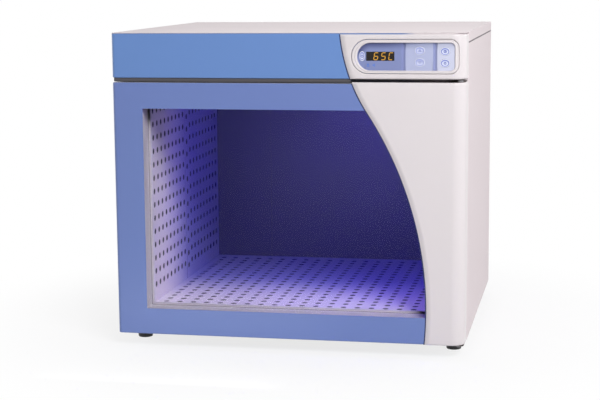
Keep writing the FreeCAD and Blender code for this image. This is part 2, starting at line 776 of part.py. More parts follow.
def make_feet():
    """Tapered rubber feet, each with a screw up through its recess into the base pan."""
    names = ("front_left", "front_right", "rear_left", "rear_right")
    head_top = FOOT_SCREW_RECESS + FOOT_SCREW_HEAD
    tip = FOOT_HEIGHT + SHEET + FOOT_SCREW_REACH
    screws = []
    for name, (x, y) in zip(names, foot_places()):
        foot = Part.makeCone(FOOT_SOLE_R, FOOT_TOP_R, FOOT_HEIGHT, vec(x, y, 0))
        foot = foot.cut(rod_z(x, y, -1, head_top, FOOT_SCREW_HEAD_R + 1))
        foot = foot.cut(rod_z(x, y, 0, FOOT_HEIGHT + 1, FOOT_SCREW_R + FIT_GAP))
        save("foot_" + name, foot)
        head = rod_z(x, y, FOOT_SCREW_RECESS, head_top, FOOT_SCREW_HEAD_R)
        screws.append(head.fuse(rod_z(x, y, FOOT_SCREW_RECESS, tip, FOOT_SCREW_R)))
    save_group("foot_screws", screws)


# ---------------------------------------------------------------- chamber
def screw_recesses():
    """Space round the foot screws' tips."""
    tip = BASE_Z + SHEET + FOOT_SCREW_REACH + PASSAGE_CLEARANCE
    return Part.makeCompound([rod_z(x, y, BASE_Z, tip, FOOT_SCREW_HEAD_R) for x, y in foot_places()])


def make_insulation():
    """Slabs that fill the space between the chamber and the casing."""
    gap = SLAB_GAP
    inner = CHAMBER_HALF + CHAMBER_SHEET + gap
    outer = HALF - 2 * SHEET - gap
    y0 = CHAMBER_FRONT_Y + SHEET + gap
    y1 = REAR_INNER_Y - SHEET - gap
    z0 = BASE_Z + SHEET + gap
    z1 = DECK_Z - gap
    right = box(inner, outer, y0, y1, z0, z1).cut(screw_recesses())
    left = right.mirror(vec(0, 0, 0), vec(1, 0, 0))
    save_group("insulation_sides", [left, right])
    half = inner - gap
    low = box(-half, half, y0, y1, z0, CHAMBER_BOTTOM - CHAMBER_SHEET - gap)
    save("insulation_bottom", low.cut(screw_recesses()))
    top = box(-half, half, y0, y1, CHAMBER_TOP + CHAMBER_SHEET + gap, z1)
    top = top.cut(rod_z(0, FAN_Y, CHAMBER_TOP, DECK_Z, SHAFT_PASSAGE_R))
    for x, y in heater_terminals():
        top = top.cut(rod_z(x, y, CHAMBER_TOP, DECK_Z, HEATER_TUBE_R + PASSAGE_CLEARANCE))
    top = top.cut(rod_z(probe_x(), FAN_Y, CHAMBER_TOP, DECK_Z, PROBE_R + PASSAGE_CLEARANCE))
    save("insulation_top", top)
    y0 = CHAMBER_BACK_Y + CHAMBER_SHEET + gap
    save("insulation_rear", box(-half, half, y0, y1, CHAMBER_BOTTOM, CHAMBER_TOP))


def make_chamber():
    """Inner shell: a wrapped tube, open to the front, and the plate that closes its back."""
    half = CHAMBER_HALF + CHAMBER_SHEET
    y0 = CHAMBER_FRONT_Y
    y1 = CHAMBER_BACK_Y
    z0 = CHAMBER_BOTTOM - CHAMBER_SHEET
    z1 = CHAMBER_TOP + CHAMBER_SHEET
    wrap = box(-half, half, y0, y1, z0, z1)
    wrap = wrap.cut(box(-CHAMBER_HALF, CHAMBER_HALF, y0 - 1, y1 + 1, CHAMBER_BOTTOM, CHAMBER_TOP))
    wrap = wrap.cut(rod_z(0, FAN_Y, CHAMBER_TOP - 1, DECK_Z, SHAFT_PASSAGE_R))
    for x, y in heater_terminals():
        wrap = wrap.cut(rod_z(x, y, CHAMBER_TOP - 1, DECK_Z, HEATER_TUBE_R + FIT_GAP))
    wrap = wrap.cut(rod_z(probe_x(), FAN_Y, CHAMBER_TOP - 1, DECK_Z, PROBE_R + FIT_GAP))
    save("chamber_wrap", wrap)
    save("chamber_back", box(-half, half, y1, y1 + CHAMBER_SHEET, z0, z1))


def make_ceiling_panel():
    """Ceiling between the duct panels, with the fan's intake hole."""
    half = CLEAR_HALF + SHEET
    z1 = CEILING_Z + SHEET
    panel = box(-half, half, CHAMBER_FRONT_Y, CHAMBER_BACK_Y, CEILING_Z, z1)
    save("ceiling_panel", panel.cut(rod_z(0, FAN_Y, CEILING_Z - 1, z1 + 1, GUARD_R - GUARD_LAP)))


def make_duct_panels():
    """Perforated inner walls, each side in a front and a rear panel."""
    split = CHAMBER_FRONT_Y + (CHAMBER_BACK_Y - CHAMBER_FRONT_Y) * DUCT_SPLIT
    spans = (
        (CHAMBER_FRONT_Y, split - PANEL_JOINT / 2),
        (split + PANEL_JOINT / 2, CHAMBER_BACK_Y),
    )
    x0 = CLEAR_HALF - 1
    x1 = CLEAR_HALF + SHEET + 1
    feed_end = DUCT_FEED_WIDTH / 2 + DUCT_FEED_MARGIN
    feed_top = CHAMBER_BOTTOM + DUCT_FEED_HEIGHT
    right = []
    left = []
    for y0, y1 in spans:
        panel = box(CLEAR_HALF, CLEAR_HALF + SHEET, y0, y1, CHAMBER_BOTTOM, CEILING_Z)
        cutters = []
        for y in spread(y0 + HOLE_MARGIN, y1 - HOLE_MARGIN, SIDE_HOLE_PITCH):
            for z in spread(FLOOR_Z + HOLE_MARGIN, OPENING_TOP - HOLE_MARGIN, SIDE_HOLE_PITCH):
                cutters.append(hole_prism(vec(x0, y, z), vec(1, 0, 0), x1 - x0))
        for y in spread(y0 + feed_end, y1 - feed_end, DUCT_FEED_PITCH):
            half = DUCT_FEED_WIDTH / 2
            cutters.append(box(x0, x1, y - half, y + half, CHAMBER_BOTTOM - 1, feed_top))
        panel = panel.cut(Part.makeCompound(cutters))
        right.append(panel)
        left.append(panel.mirror(vec(0, 0, 0), vec(1, 0, 0)))
    save_group("duct_panels_right", right)
    save_group("duct_panels_left", left)


def make_floor_panel():
    """Perforated floor, folded down at the front and rear to stand on the chamber."""
    half = CLEAR_HALF - SEAT_GAP
    y0 = CHAMBER_FRONT_Y
    y1 = CHAMBER_BACK_Y - SEAT_GAP
    panel = box(-half, half, y0, y1, CHAMBER_BOTTOM, FLOOR_Z)
    panel = panel.cut(
        box(-FAR, FAR, y0 + SHEET, y1 - SHEET, CHAMBER_BOTTOM - 1, FLOOR_Z - SHEET)
    )
    cutters = []
    for x in spread(-half + HOLE_MARGIN, half - HOLE_MARGIN, FLOOR_HOLE_PITCH):
        for y in spread(y0 + HOLE_MARGIN, y1 - HOLE_MARGIN, FLOOR_HOLE_PITCH):
            cutters.append(hole_prism(vec(x, y, FLOOR_Z - SHEET - 1), vec(0, 0, 1), SHEET + 2))
    save("floor_panel", panel.cut(Part.makeCompound(cutters)))


def make_lamp():
    """Light strip under the front of the ceiling: channel and half-round lens."""
    y0 = CHAMBER_FRONT_Y + LAMP_SETBACK
    y1 = y0 + LAMP_WIDTH
    z0 = CEILING_Z - LAMP_CHANNEL
    half = LAMP_LENGTH / 2
    end = half - LAMP_BACK
    channel = box(-half, half, y0, y1, z0, CEILING_Z)
    trough = box(-end, end, y0 + LAMP_WALL, y1 - LAMP_WALL, z0 - 1, CEILING_Z - LAMP_BACK)
    save("lamp_channel", channel.cut(trough))
    end -= 2 * SEAT_GAP
    lens_z = z0 + LAMP_BACK
    axis_start = vec(-end, (y0 + y1) / 2, lens_z)
    lens = Part.makeCylinder(LAMP_LENS_R, 2 * end, axis_start, vec(1, 0, 0))
    side = LAMP_WALL + FIT_GAP
    kept = box(-half, half, y0 + side, y1 - side, z0 - LAMP_LENS_R, lens_z + LAMP_WALL)
    save("lamp_lens", lens.common(kept))


# ---------------------------------------------------------------- fan and heater
def impeller_z():
    """Heights of the impeller's lower and upper faces."""
    low = CEILING_Z + SHEET + PLENUM_RUNNING_GAP
    return low, low + IMPELLER_DEPTH


def make_impeller():
    """Backward-curved wheel: hub, back plate, blades and inlet ring."""
    low, high = impeller_z()
    plate = rod_z(0, 0, high - IMPELLER_SHEET, high, IMPELLER_R)
    hub_top = high + HUB_RISE
    hub = rod_z(0, 0, hub_top - HUB_LENGTH, hub_top, HUB_R)
    inlet = rod_z(0, 0, low, low + IMPELLER_SHEET, IMPELLER_R)
    inlet = inlet.cut(rod_z(0, 0, low - 1, high, IMPELLER_EYE_R))
    z0 = low + IMPELLER_SHEET / 2
    z1 = high - IMPELLER_SHEET / 2
    arc_x = (IMPELLER_R + IMPELLER_EYE_R) / 2 - BLADE_ARC_BACK
    arc_y = BLADE_ARC_ASIDE
    curl = rod_z(arc_x, arc_y, z0, z1, BLADE_ARC_R)
    curl = curl.cut(rod_z(arc_x, arc_y, z0, z1, BLADE_ARC_R - IMPELLER_SHEET))
    band = rod_z(0, 0, z0, z1, IMPELLER_R - 1).cut(rod_z(0, 0, z0, z1, IMPELLER_EYE_R + 1))
    blade = curl.common(band).common(box(0, FAR, -FAR, arc_y, z0, z1))
    blades = []
    for i in range(IMPELLER_BLADES):
        turned = blade.copy()
        turned.rotate(vec(0, 0, 0), vec(0, 0, 1), 360 * i / IMPELLER_BLADES)
        blades.append(turned)
    wheel = plate.fuse([hub, inlet] + blades)
    wheel = wheel.cut(rod_z(0, 0, low - 1, hub_top + 1, SHAFT_R + SHAFT_RUNNING_CLEARANCE))
    wheel.translate(vec(0, FAN_Y, 0))
    save("impeller", wheel)


def make_intake_guard():
    """Inlet collar with a guard of rings and spokes below it."""
    low = impeller_z()[0]
    outer = IMPELLER_EYE_R - COLLAR_CLEARANCE
    inner = outer - COLLAR_SHEET
    top = low + COLLAR_CLEARANCE
    seat = CEILING_Z - COLLAR_SHEET
    flange = rod_z(0, 0, seat, CEILING_Z, GUARD_R + GUARD_LAP)
    guard = flange.fuse(rod_z(0, 0, seat, top, outer)).cut(rod_z(0, 0, seat - 1, top + 1, inner))
    wires = []
    wire_z = seat - GUARD_WIRE
    for i in range(GUARD_RINGS):
        ring_r = GUARD_R * (i + 1) / GUARD_RINGS
        ring = rod_z(0, 0, wire_z, seat, ring_r + GUARD_WIRE / 2)
        wires.append(ring.cut(rod_z(0, 0, wire_z - 1, seat + 1, ring_r - GUARD_WIRE / 2)))
    for i in range(GUARD_SPOKES):
        spoke = box(0, GUARD_R + GUARD_WIRE, -GUARD_WIRE / 2, GUARD_WIRE / 2, wire_z, seat)
        spoke.rotate(vec(0, 0, 0), vec(0, 0, 1), 360 * i / GUARD_SPOKES)
        wires.append(spoke)
    guard = guard.fuse(wires)
    guard.translate(vec(0, FAN_Y, 0))
    save("intake_guard", guard)


def make_fan_motor():
    """Motor on the deck, its shaft reaching down through the insulation."""
    high = impeller_z()[1]
    z0 = DECK_Z + SHEET
    z1 = z0 + MOTOR_HEIGHT
    flange = rod_z(0, 0, z0, z0 + MOTOR_FLANGE, MOTOR_FLANGE_R)
    body = rod_z(0, 0, z0, z1, MOTOR_R)
    rim = [edge for edge in body.Edges if min(v.Z for v in edge.Vertexes) > z1 - 1e-6]
    body = body.makeFillet(MOTOR_EDGE_R, rim)
    cap = rod_z(0, 0, z1, z1 + MOTOR_CAP, MOTOR_CAP_R)
    shaft = rod_z(0, 0, high + HUB_RISE - HUB_LENGTH, z0 + 1, SHAFT_R)
    motor = body.fuse([flange, cap, shaft])
    slots = []
    for i in range(MOTOR_SLOTS):
        slot = box(
            MOTOR_R - MOTOR_SLOT_DEPTH,
            MOTOR_R + 1,
            -MOTOR_SLOT_WIDTH / 2,
            MOTOR_SLOT_WIDTH / 2,
            z0 + MOTOR_SLOT_MARGIN,
            z1 - MOTOR_SLOT_MARGIN,
        )
        slot.rotate(vec(0, 0, 0), vec(0, 0, 1), 360 * i / MOTOR_SLOTS)
        slots.append(slot)
    motor = motor.cut(Part.makeCompound(slots))
    motor.translate(vec(0, FAN_Y, 0))
    save("fan_motor", motor)


def heater_z():
    low, high = impeller_z()
    return (low + high) / 2


def heater_angles():
    """Where the heater ring starts and ends, about the fan axis."""
    return math.radians(-90 + HEATER_GAP_DEG / 2), math.radians(270 - HEATER_GAP_DEG / 2)


def heater_terminals():
    """Plan places of the two legs that rise to the deck."""
    places = []
    for angle, turn in zip(heater_angles(), (-1, 1)):
        x = HEATER_RING_R * math.cos(angle) - turn * HEATER_BEND_R * math.sin(angle)
        y = HEATER_RING_R * math.sin(angle) + turn * HEATER_BEND_R * math.cos(angle)
        places.append((x, FAN_Y + y))
    return places


def make_heater():
    """Sheathed tube bent to a ring round the impeller, its ends turned up as legs."""
    z = heater_z()
    start, end = heater_angles()
    top = DECK_Z + SHEET + HEATER_TERMINAL
    pieces = []
    first = Part.Circle(
        vec(HEATER_RING_R * math.cos(start), HEATER_RING_R * math.sin(start), z),
        vec(-math.sin(start), math.cos(start), 0),
        HEATER_TUBE_R,
    )
    section = Part.Face(Part.Wire(first.toShape()))
    pieces.append(section.revolve(vec(0, 0, z), vec(0, 0, 1), math.degrees(end - start)))
    for angle, turn, place in zip((start, end), (-1, 1), heater_terminals()):
        x = HEATER_RING_R * math.cos(angle)
        y = HEATER_RING_R * math.sin(angle)
        away = vec(-turn * math.sin(angle), turn * math.cos(angle), 0)
        across = away.cross(vec(0, 0, 1))
        bend = Part.Face(Part.Wire(Part.Circle(vec(x, y, z), away, HEATER_TUBE_R).toShape()))
        pieces.append(bend.revolve(vec(x, y, z + HEATER_BEND_R), across, 90))
        pieces.append(rod_z(place[0], place[1] - FAN_Y, z + HEATER_BEND_R, top, HEATER_TUBE_R))
    heater = pieces[0].fuse(pieces[1:])
    heater.translate(vec(0, FAN_Y, 0))
    save("heater_ring", heater)


def make_heater_clips():
    """Hangers between the chamber's top and the heater tube."""
    z = heater_z()
    x0 = HEATER_RING_R - CLIP_WIDTH / 2
    x1 = HEATER_RING_R + CLIP_WIDTH / 2
    seat = Part.makeTorus(HEATER_RING_R, HEATER_TUBE_R + FIT_GAP, vec(0, 0, z))
    clips = []
    for i in range(HEATER_CLIPS):
        strip = box(x0, x1, -SHEET / 2, SHEET / 2, z + HEATER_TUBE_R - 1, CHAMBER_TOP)
        pad = box(x0, x1, -SHEET / 2, CLIP_PAD, CHAMBER_TOP - SHEET, CHAMBER_TOP)
        clip = strip.fuse(pad).cut(seat)
        clip.rotate(vec(0, 0, 0), vec(0, 0, 1), 360 * (i + 0.5) / HEATER_CLIPS)
        clip.translate(vec(0, FAN_Y, 0))
        clips.append(clip)
    save_group("heater_clips", clips)


def probe_x():
    return -HEATER_RING_R - SENSOR_SPACING


def make_sensors():
    """Air temperature probe and safety thermostat, both on the deck."""
    x = probe_x()
    z0 = DECK_Z + SHEET
    stem = rod_z(x, FAN_Y, CHAMBER_TOP - PROBE_REACH, z0 + 1, PROBE_R)
    turns = [math.radians(a) for a in range(0, 361, 60)]
    corners = [vec(x + PROBE_NUT_R * math.cos(a), FAN_Y + PROBE_NUT_R * math.sin(a), z0) for a in turns]
    nut = Part.Face(Part.makePolygon(corners)).extrude(vec(0, 0, PROBE_NUT))
    save("temperature_probe", stem.fuse(nut))
    x = -probe_x()
    ear = THERMOSTAT_EAR
    base = rod_z(x, FAN_Y, z0, z0 + THERMOSTAT_BASE, THERMOSTAT_R)
    cap = rod_z(x, FAN_Y, z0, z0 + THERMOSTAT_BASE + THERMOSTAT_CAP, THERMOSTAT_CAP_R)
    half = THERMOSTAT_EAR_WIDTH / 2
    ears = box(x - ear, x + ear, FAN_Y - half, FAN_Y + half, z0, z0 + 1)
    save("limit_thermostat", base.fuse([cap, ears]))


# ---------------------------------------------------------------- component deck
def make_component_deck():
    """Tray over the insulation that carries the motor and the electrical parts."""
    half = HALF - SHEET
    y0 = CHAMBER_FRONT_Y
    y1 = REAR_INNER_Y
    z0 = DECK_Z - 1
    z1 = DECK_Z + SHEET
    deck = box(-half, half, y0, y1, DECK_Z, z1 + DECK_UPSTAND)
    deck = deck.cut(box(-half + SHEET, half - SHEET, y0 + SHEET, y1 - SHEET, z1, FAR))
    deck = deck.cut(rod_z(0, FAN_Y, z0, z1 + 1, SHAFT_PASSAGE_R))
    for x, y in heater_terminals():
        deck = deck.cut(rod_z(x, y, z0, z1 + 1, HEATER_TUBE_R + FIT_GAP))
    deck = deck.cut(rod_z(probe_x(), FAN_Y, z0, z1 + 1, PROBE_R + FIT_GAP))
    save("component_deck", deck)


def make_power_supply():
    """Enclosed supply with a stepped terminal block at its front."""
    width, depth, height = SUPPLY_SIZE
    x0 = -HALF + SUPPLY_SIDE
    y0 = REAR_INNER_Y - SUPPLY_REAR - depth
    z0 = DECK_Z + SHEET
    step_depth, step_z = TERMINAL_STEP[0], z0 + TERMINAL_STEP[1]
    case = box(x0, x0 + width, y0, y0 + depth, z0, z0 + height)
    step = box(
        x0 + SUPPLY_WALL, x0 + width - SUPPLY_WALL, y0 - 1, y0 + step_depth, step_z, z0 + height + 1
    )
    barriers = []
    for i in range(TERMINAL_BARRIERS):
        x = x0 + width / 2 + (i - (TERMINAL_BARRIERS - 1) / 2) * TERMINAL_PITCH
        barriers.append(
            box(x - BARRIER[0] / 2, x + BARRIER[0] / 2, y0, y0 + step_depth, step_z, step_z + BARRIER[1])
        )
    save("power_supply", case.cut(step).fuse(barriers))


def make_heater_relay():
    """Solid-state relay on a finned heat sink."""
    width, depth, height = SINK_SIZE
    x0 = HALF - SINK_SIDE - width
    y0 = REAR_INNER_Y - SINK_REAR - depth
    z0 = DECK_Z + SHEET
    pieces = [box(x0, x0 + width, y0, y0 + depth, z0, z0 + SINK_BASE)]
    for i in range(SINK_FINS):
        x = x0 + i * (width - SINK_FIN) / (SINK_FINS - 1)
        pieces.append(box(x, x + SINK_FIN, y0, y0 + depth, z0, z0 + height))
    foot_depth, foot_height = SINK_FOOT
    pieces.append(box(x0, x0 + width, y0 + depth, y0 + depth + foot_depth, z0, z0 + foot_height))
    relay_width, relay_depth, relay_height = RELAY_SIZE
    relay_x = x0 + (width - relay_width) / 2
    relay_y = y0 + (depth - relay_depth) / 2
    z1 = z0 + height
    pieces.append(
        box(relay_x, relay_x + relay_width, relay_y, relay_y + relay_depth, z1, z1 + relay_height)
    )
    save("heater_relay", pieces[0].fuse(pieces[1:]))


# ---------------------------------------------------------------- rear service parts
def rocker_x():
    return INLET_X + ROCKER_ASIDE


def make_power_module():
    """Flanged module that holds the supply socket and the rocker switch."""
    z = INLET_Z
    half_w = MODULE_WIDTH / 2
    half_h = MODULE_HEIGHT / 2
    face = REAR_PANEL_Y + MODULE_FLANGE
    flange = box(INLET_X - half_w, INLET_X + half_w, REAR_PANEL_Y, face, z - half_h, z + half_h)
    body = box(
        INLET_X - half_w + MODULE_LAP,
        INLET_X + half_w - MODULE_LAP,
        REAR_PANEL_Y - MODULE_DEPTH,
        REAR_PANEL_Y,
        z - half_h + MODULE_LAP,
        z + half_h - MODULE_LAP,
    )
    socket_x = INLET_X - SOCKET_ASIDE
    cavity = box(
        socket_x - SOCKET_WIDTH / 2,
        socket_x + SOCKET_WIDTH / 2,
        face - SOCKET_DEPTH,
        face + 1,
        z - SOCKET_HEIGHT / 2,
        z + SOCKET_HEIGHT / 2,
    )
    well = box(
        rocker_x() - ROCKER_WIDTH / 2 - KEY_GAP,
        rocker_x() + ROCKER_WIDTH / 2 + KEY_GAP,
        face - ROCKER_WELL_DEPTH,
        face + 1,
        z - ROCKER_HEIGHT / 2 - 1,
        z + ROCKER_HEIGHT / 2 + 1,
    )
    module = flange.fuse(body).cut(cavity).cut(well)
    fittings = []
    for column in (-1, 0, 1):
        x = socket_x + column * BLADE_PITCH
        fittings.append(
            box(
                x - BLADE_WIDTH / 2,
                x + BLADE_WIDTH / 2,
                face - SOCKET_DEPTH - 1,
                face - BLADE_SUNK,
                z + BLADE_RISE - BLADE_HEIGHT / 2,
                z + BLADE_RISE + BLADE_HEIGHT / 2,
            )
        )
    axle_start = vec(rocker_x() - ROCKER_WIDTH / 2 - 1, rocker_axis_y(), z)
    fittings.append(Part.makeCylinder(ROCKER_AXLE_R, ROCKER_WIDTH + 2, axle_start, vec(1, 0, 0)))
    save("power_module", module.fuse(fittings))


def rocker_axis_y():
    return REAR_PANEL_Y + MODULE_FLANGE - ROCKER_AXLE_SUNK


def make_rocker():
    """Rocker with a shallow V face, resting with its upper half pressed in."""
    half = ROCKER_HEIGHT / 2 - ROCKER_END_GAP
    under = ROCKER_UNDERSIDE
    profile = [
        vec(0, ROCKER_CREST, half),
        vec(0, ROCKER_VALLEY, 0),
        vec(0, ROCKER_CREST, -half),
        vec(0, -under, -half + under),
        vec(0, -under, half - under),
    ]
    outline = Part.makePolygon(profile + profile[:1])
    rocker = Part.Face(outline).extrude(vec(ROCKER_WIDTH, 0, 0))
    bore_r = ROCKER_AXLE_R + PIN_RUNNING_CLEARANCE
    rocker = rocker.cut(Part.makeCylinder(bore_r, ROCKER_WIDTH + 2, vec(-1, 0, 0), vec(1, 0, 0)))
    rocker.rotate(vec(0, 0, 0), vec(1, 0, 0), ROCKER_TILT)
    rocker.translate(vec(rocker_x() - ROCKER_WIDTH / 2, rocker_axis_y(), INLET_Z))
    save("rocker", rocker)


# ---------------------------------------------------------------- head and controls
def board_y():
    return SKIN_Y + BOARD_SETBACK


def board_box():
    """Outline of the control board in X and Z."""
    x0 = PANEL_LEFT - BOARD_MARGIN
    x1 = PANEL_RIGHT - BOARD_SIDE_CLEARANCE
    return x0, x1, HEAD_BOTTOM + PANEL_LOW - BOARD_MARGIN, HEAD_BOTTOM + PANEL_HIGH + BOARD_MARGIN


def make_head_fascia():
    """Blue front box of the head, with studs behind it for the control board."""
    shell = front_shell(HEAD_BOTTOM, HEAD_TOP, FACE_Y)
    shell = shell.cut(grown_panel(0, SKIN_Y - 1, SKIN_Y + BEND_R + SHEET))
    x0, x1, z0, z1 = board_box()
    studs = []
    for x in (x0 + STANDOFF_INSET, x1 - STANDOFF_RIGHT_INSET):
        for z in (z0 + STANDOFF_INSET, z1 - STANDOFF_INSET):
            studs.append(rod_y(x, z, SKIN_Y + SHEET / 2, board_y(), STANDOFF_R))
    save("head_fascia", shell.fuse(studs))


def make_control_cover():
    """White moulded cover of the head, cut out round the bezel."""
    cover = swoosh_cover(HEAD_BOTTOM, HEAD_TOP - COVER_TOP_DROP)
    save("control_cover", cover.cut(grown_bezel(BEZEL_GROOVE, COVER_Y - 1, FACE_Y)))


def make_bezel_ring():
    """Raised frame round the sunk panel; its right end follows the cabinet's corner."""
    outer = plan_block(
        0, HALF + BEZEL_PROUD, FRONT_Y, FACE_Y, 1.0, RIGHT_CORNER_R + BEZEL_PROUD, HEAD_BOTTOM, HEAD_TOP
    )
    inner = plan_block(
        -1, SKIN_HALF_RIGHT, SKIN_Y, FACE_Y + 1, 1.0, SKIN_CORNER_R, HEAD_BOTTOM - 1, HEAD_TOP + 1
    )
    ring = grown_bezel(0, FRONT_Y - 1, DOOR_BACK_Y).cut(grown_panel(0, FRONT_Y - 2, FACE_Y))
    ring = ring.common(outer.cut(inner))
    rebate_y = SKIN_Y - OVERLAY_THICKNESS - FIT_GAP
    save("bezel_ring", ring.cut(grown_panel(OVERLAY_REBATE + FIT_GAP, rebate_y, FACE_Y)))


def key_table():
    """Name, X, height above the head's lower edge, width and height of each key."""
    power = ("key_power", HALF - POWER_KEY_INSET, POWER_KEY_RISE, POWER_KEY_WIDTH, POWER_KEY_HEIGHT)
    table = [power]
    pairs = (
        (("key_up", "key_down"), ARROW_KEY_INSET, ARROW_KEY_RISES),
        (("key_timer", "key_lamp"), FUNCTION_KEY_INSET, FUNCTION_KEY_RISES),
    )
    for names, inset, rises in pairs:
        for name, rise in zip(names, rises):
            table.append((name, HALF - inset, rise, KEY_WIDTH, KEY_HEIGHT))
    return table


def make_control_overlay():
    """Sunk three-zone panel with grooves between the zones."""
    y0 = SKIN_Y - OVERLAY_THICKNESS
    overlay = grown_panel(OVERLAY_REBATE, y0, SKIN_Y)
    half = GROOVE_WIDTH / 2
    for inset in ZONE_GROOVE_INSETS:
        x = HALF - inset
        groove = box(x - half, x + half, y0 - 1, y0 + GROOVE_DEPTH, HEAD_BOTTOM, HEAD_TOP)
        overlay = overlay.cut(groove)
    z0 = HEAD_BOTTOM + DISPLAY_LOW
    z1 = HEAD_BOTTOM + DISPLAY_HIGH
    overlay = overlay.cut(box(DISPLAY_LEFT, DISPLAY_RIGHT, y0 - 1, SKIN_Y + 1, z0, z1))
    for name, x, rise, width, height in key_table():
        hole_width = width + 2 * KEY_GAP
        hole_height = height + 2 * KEY_GAP
        hole = oval_block(x, HEAD_BOTTOM + rise, hole_width, hole_height, y0 - 1, SKIN_Y + 1)
        overlay = overlay.cut(hole)
    save("control_overlay", overlay)


def make_keys():
    """Oval keys, each with a rim behind the overlay and a plunger to its switch."""
    y0 = SKIN_Y - OVERLAY_THICKNESS - KEY_PROUD
    rim_y = SKIN_Y + SEAT_GAP
    back_y = rim_y + KEY_FLANGE_THICKNESS
    tip_y = board_y() - SWITCH_BODY - SWITCH_STEM - KEY_TRAVEL - PLUNGER_FREE_PLAY
    for name, x, rise, width, height in key_table():
        z = HEAD_BOTTOM + rise
        cap = oval_block(x, z, width, height, y0, back_y)
        rim = oval_block(x, z, width + 2 * KEY_FLANGE, height + 2 * KEY_FLANGE, rim_y, back_y)
        plunger = rod_y(x, z, rim_y, tip_y, PLUNGER_R)
        save(name, cap.fuse([rim, plunger]).removeSplitter())


def make_display_module():
    """Display: a window flush in the overlay, in front of a case on the board."""
    y0 = SKIN_Y - OVERLAY_THICKNESS + DISPLAY_SUNK
    z0 = HEAD_BOTTOM + DISPLAY_LOW
    z1 = HEAD_BOTTOM + DISPLAY_HIGH
    x0, x1, gap, margin = DISPLAY_LEFT, DISPLAY_RIGHT, FIT_GAP, DISPLAY_CASE_MARGIN
    lens = box(x0 + gap, x1 - gap, y0, SKIN_Y, z0 + gap, z1 - gap)
    case = box(x0 - 1, x1 + margin, SKIN_Y + SEAT_GAP, board_y(), z0 - margin, z1 + margin)
    neck = box(x0 + margin, x1 - margin, y0, board_y(), z0 + margin, z1 - margin)
    save("display_module", lens.fuse([case, neck]).removeSplitter())


def make_control_board():
    """Circuit board with a tact switch behind each key, a relay and a plug header."""
    x0, x1, z0, z1 = board_box()
    y = board_y()
    back = y + BOARD_THICKNESS
    half = SWITCH_SIZE / 2
    pieces = [box(x0, x1, y, back, z0, z1)]
    for name, x, rise, width, height in key_table():
        z = HEAD_BOTTOM + rise
        body_y = y - SWITCH_BODY
        pieces.append(box(x - half, x + half, body_y, y, z - half, z + half))
        pieces.append(rod_y(x, z, body_y - SWITCH_STEM, body_y, SWITCH_STEM_R))
    z_middle = (z0 + z1) / 2
    for size, x in ((BOARD_PLUG, x0 + BOARD_PLUG[0] * 2), (BOARD_RELAY, x1 - BOARD_RELAY[0])):
        width, depth, height = size
        low_x = x - width / 2
        low_z = z_middle - height / 2
        pieces.append(box(low_x, low_x + width, back, back + depth, low_z, low_z + height))
    save("control_board", pieces[0].fuse(pieces[1:]))


# ---------------------------------------------------------------- door
def make_door_skin():
    """Blue front pan of the door, cut away behind the curved cover's window edge."""
    shell = front_shell(DOOR_BOTTOM, DOOR_TOP, DOOR_BACK_Y)
    window = swoosh_block(
        WINDOW_LEFT, WINDOW_BOTTOM, WINDOW_TOP, SKIN_Y - 1, SKIN_Y + 2 * SHEET, SWOOSH_LAP
    )
    shell = shell.cut(window)
    for z0, z1 in ((DOOR_BOTTOM - 1, DOOR_BOTTOM + SHEET + 1), (DOOR_TOP - SHEET - 1, DOOR_TOP + 1)):
        shell = shell.cut(rod_z(PIVOT_X, PIVOT_Y, z0, z1, BUSH_R))
    pull = pull_box(FIT_GAP)
    save("door_skin", shell.cut(pull))


def make_door_cover():
    """White moulded cover of the door, over the right-hand stile."""
    save("door_cover", swoosh_cover(DOOR_BOTTOM, DOOR_TOP))


def make_door_liner():
    """Inner pan: back plate, edge flange, and a reveal that runs forward to the glass."""
    t = LINER_SHEET
    x0 = -HALF + SHEET + LINER_GAP
    x1 = SKIN_HALF_RIGHT - SHEET - LINER_GAP
    z0 = DOOR_BOTTOM + SHEET + LINER_GAP
    z1 = DOOR_TOP - SHEET - LINER_GAP
    y1 = DOOR_BACK_Y
    y_rim = y1 - LINER_RIM
    plate = box(x0, x1, y1 - t, y1, z0, z1)
    rim = box(x0, x1, y_rim, y1, z0, z1).cut(box(x0 + t, x1 - t, y_rim - 1, y1 + 1, z0 + t, z1 - t))
    y_reveal = OUTER_GLASS_Y + GLASS + SEAT_GAP
    reveal = box(-REVEAL_HALF - t, REVEAL_HALF + t, y_reveal, y1, REVEAL_BOTTOM - t, REVEAL_TOP + t)
    liner = plate.fuse([rim, reveal])
    liner = liner.cut(
        box(-REVEAL_HALF, REVEAL_HALF, y_reveal - 1, y1 - t, REVEAL_BOTTOM, REVEAL_TOP)
    )
    lip = LINER_LIP
    liner = liner.cut(
        box(
            -REVEAL_HALF + lip,
            REVEAL_HALF - lip,
            y1 - t - 1,
            y1 + 1,
            REVEAL_BOTTOM + lip,
            REVEAL_TOP - lip,
        )
    )
    save("door_liner", liner.removeSplitter())


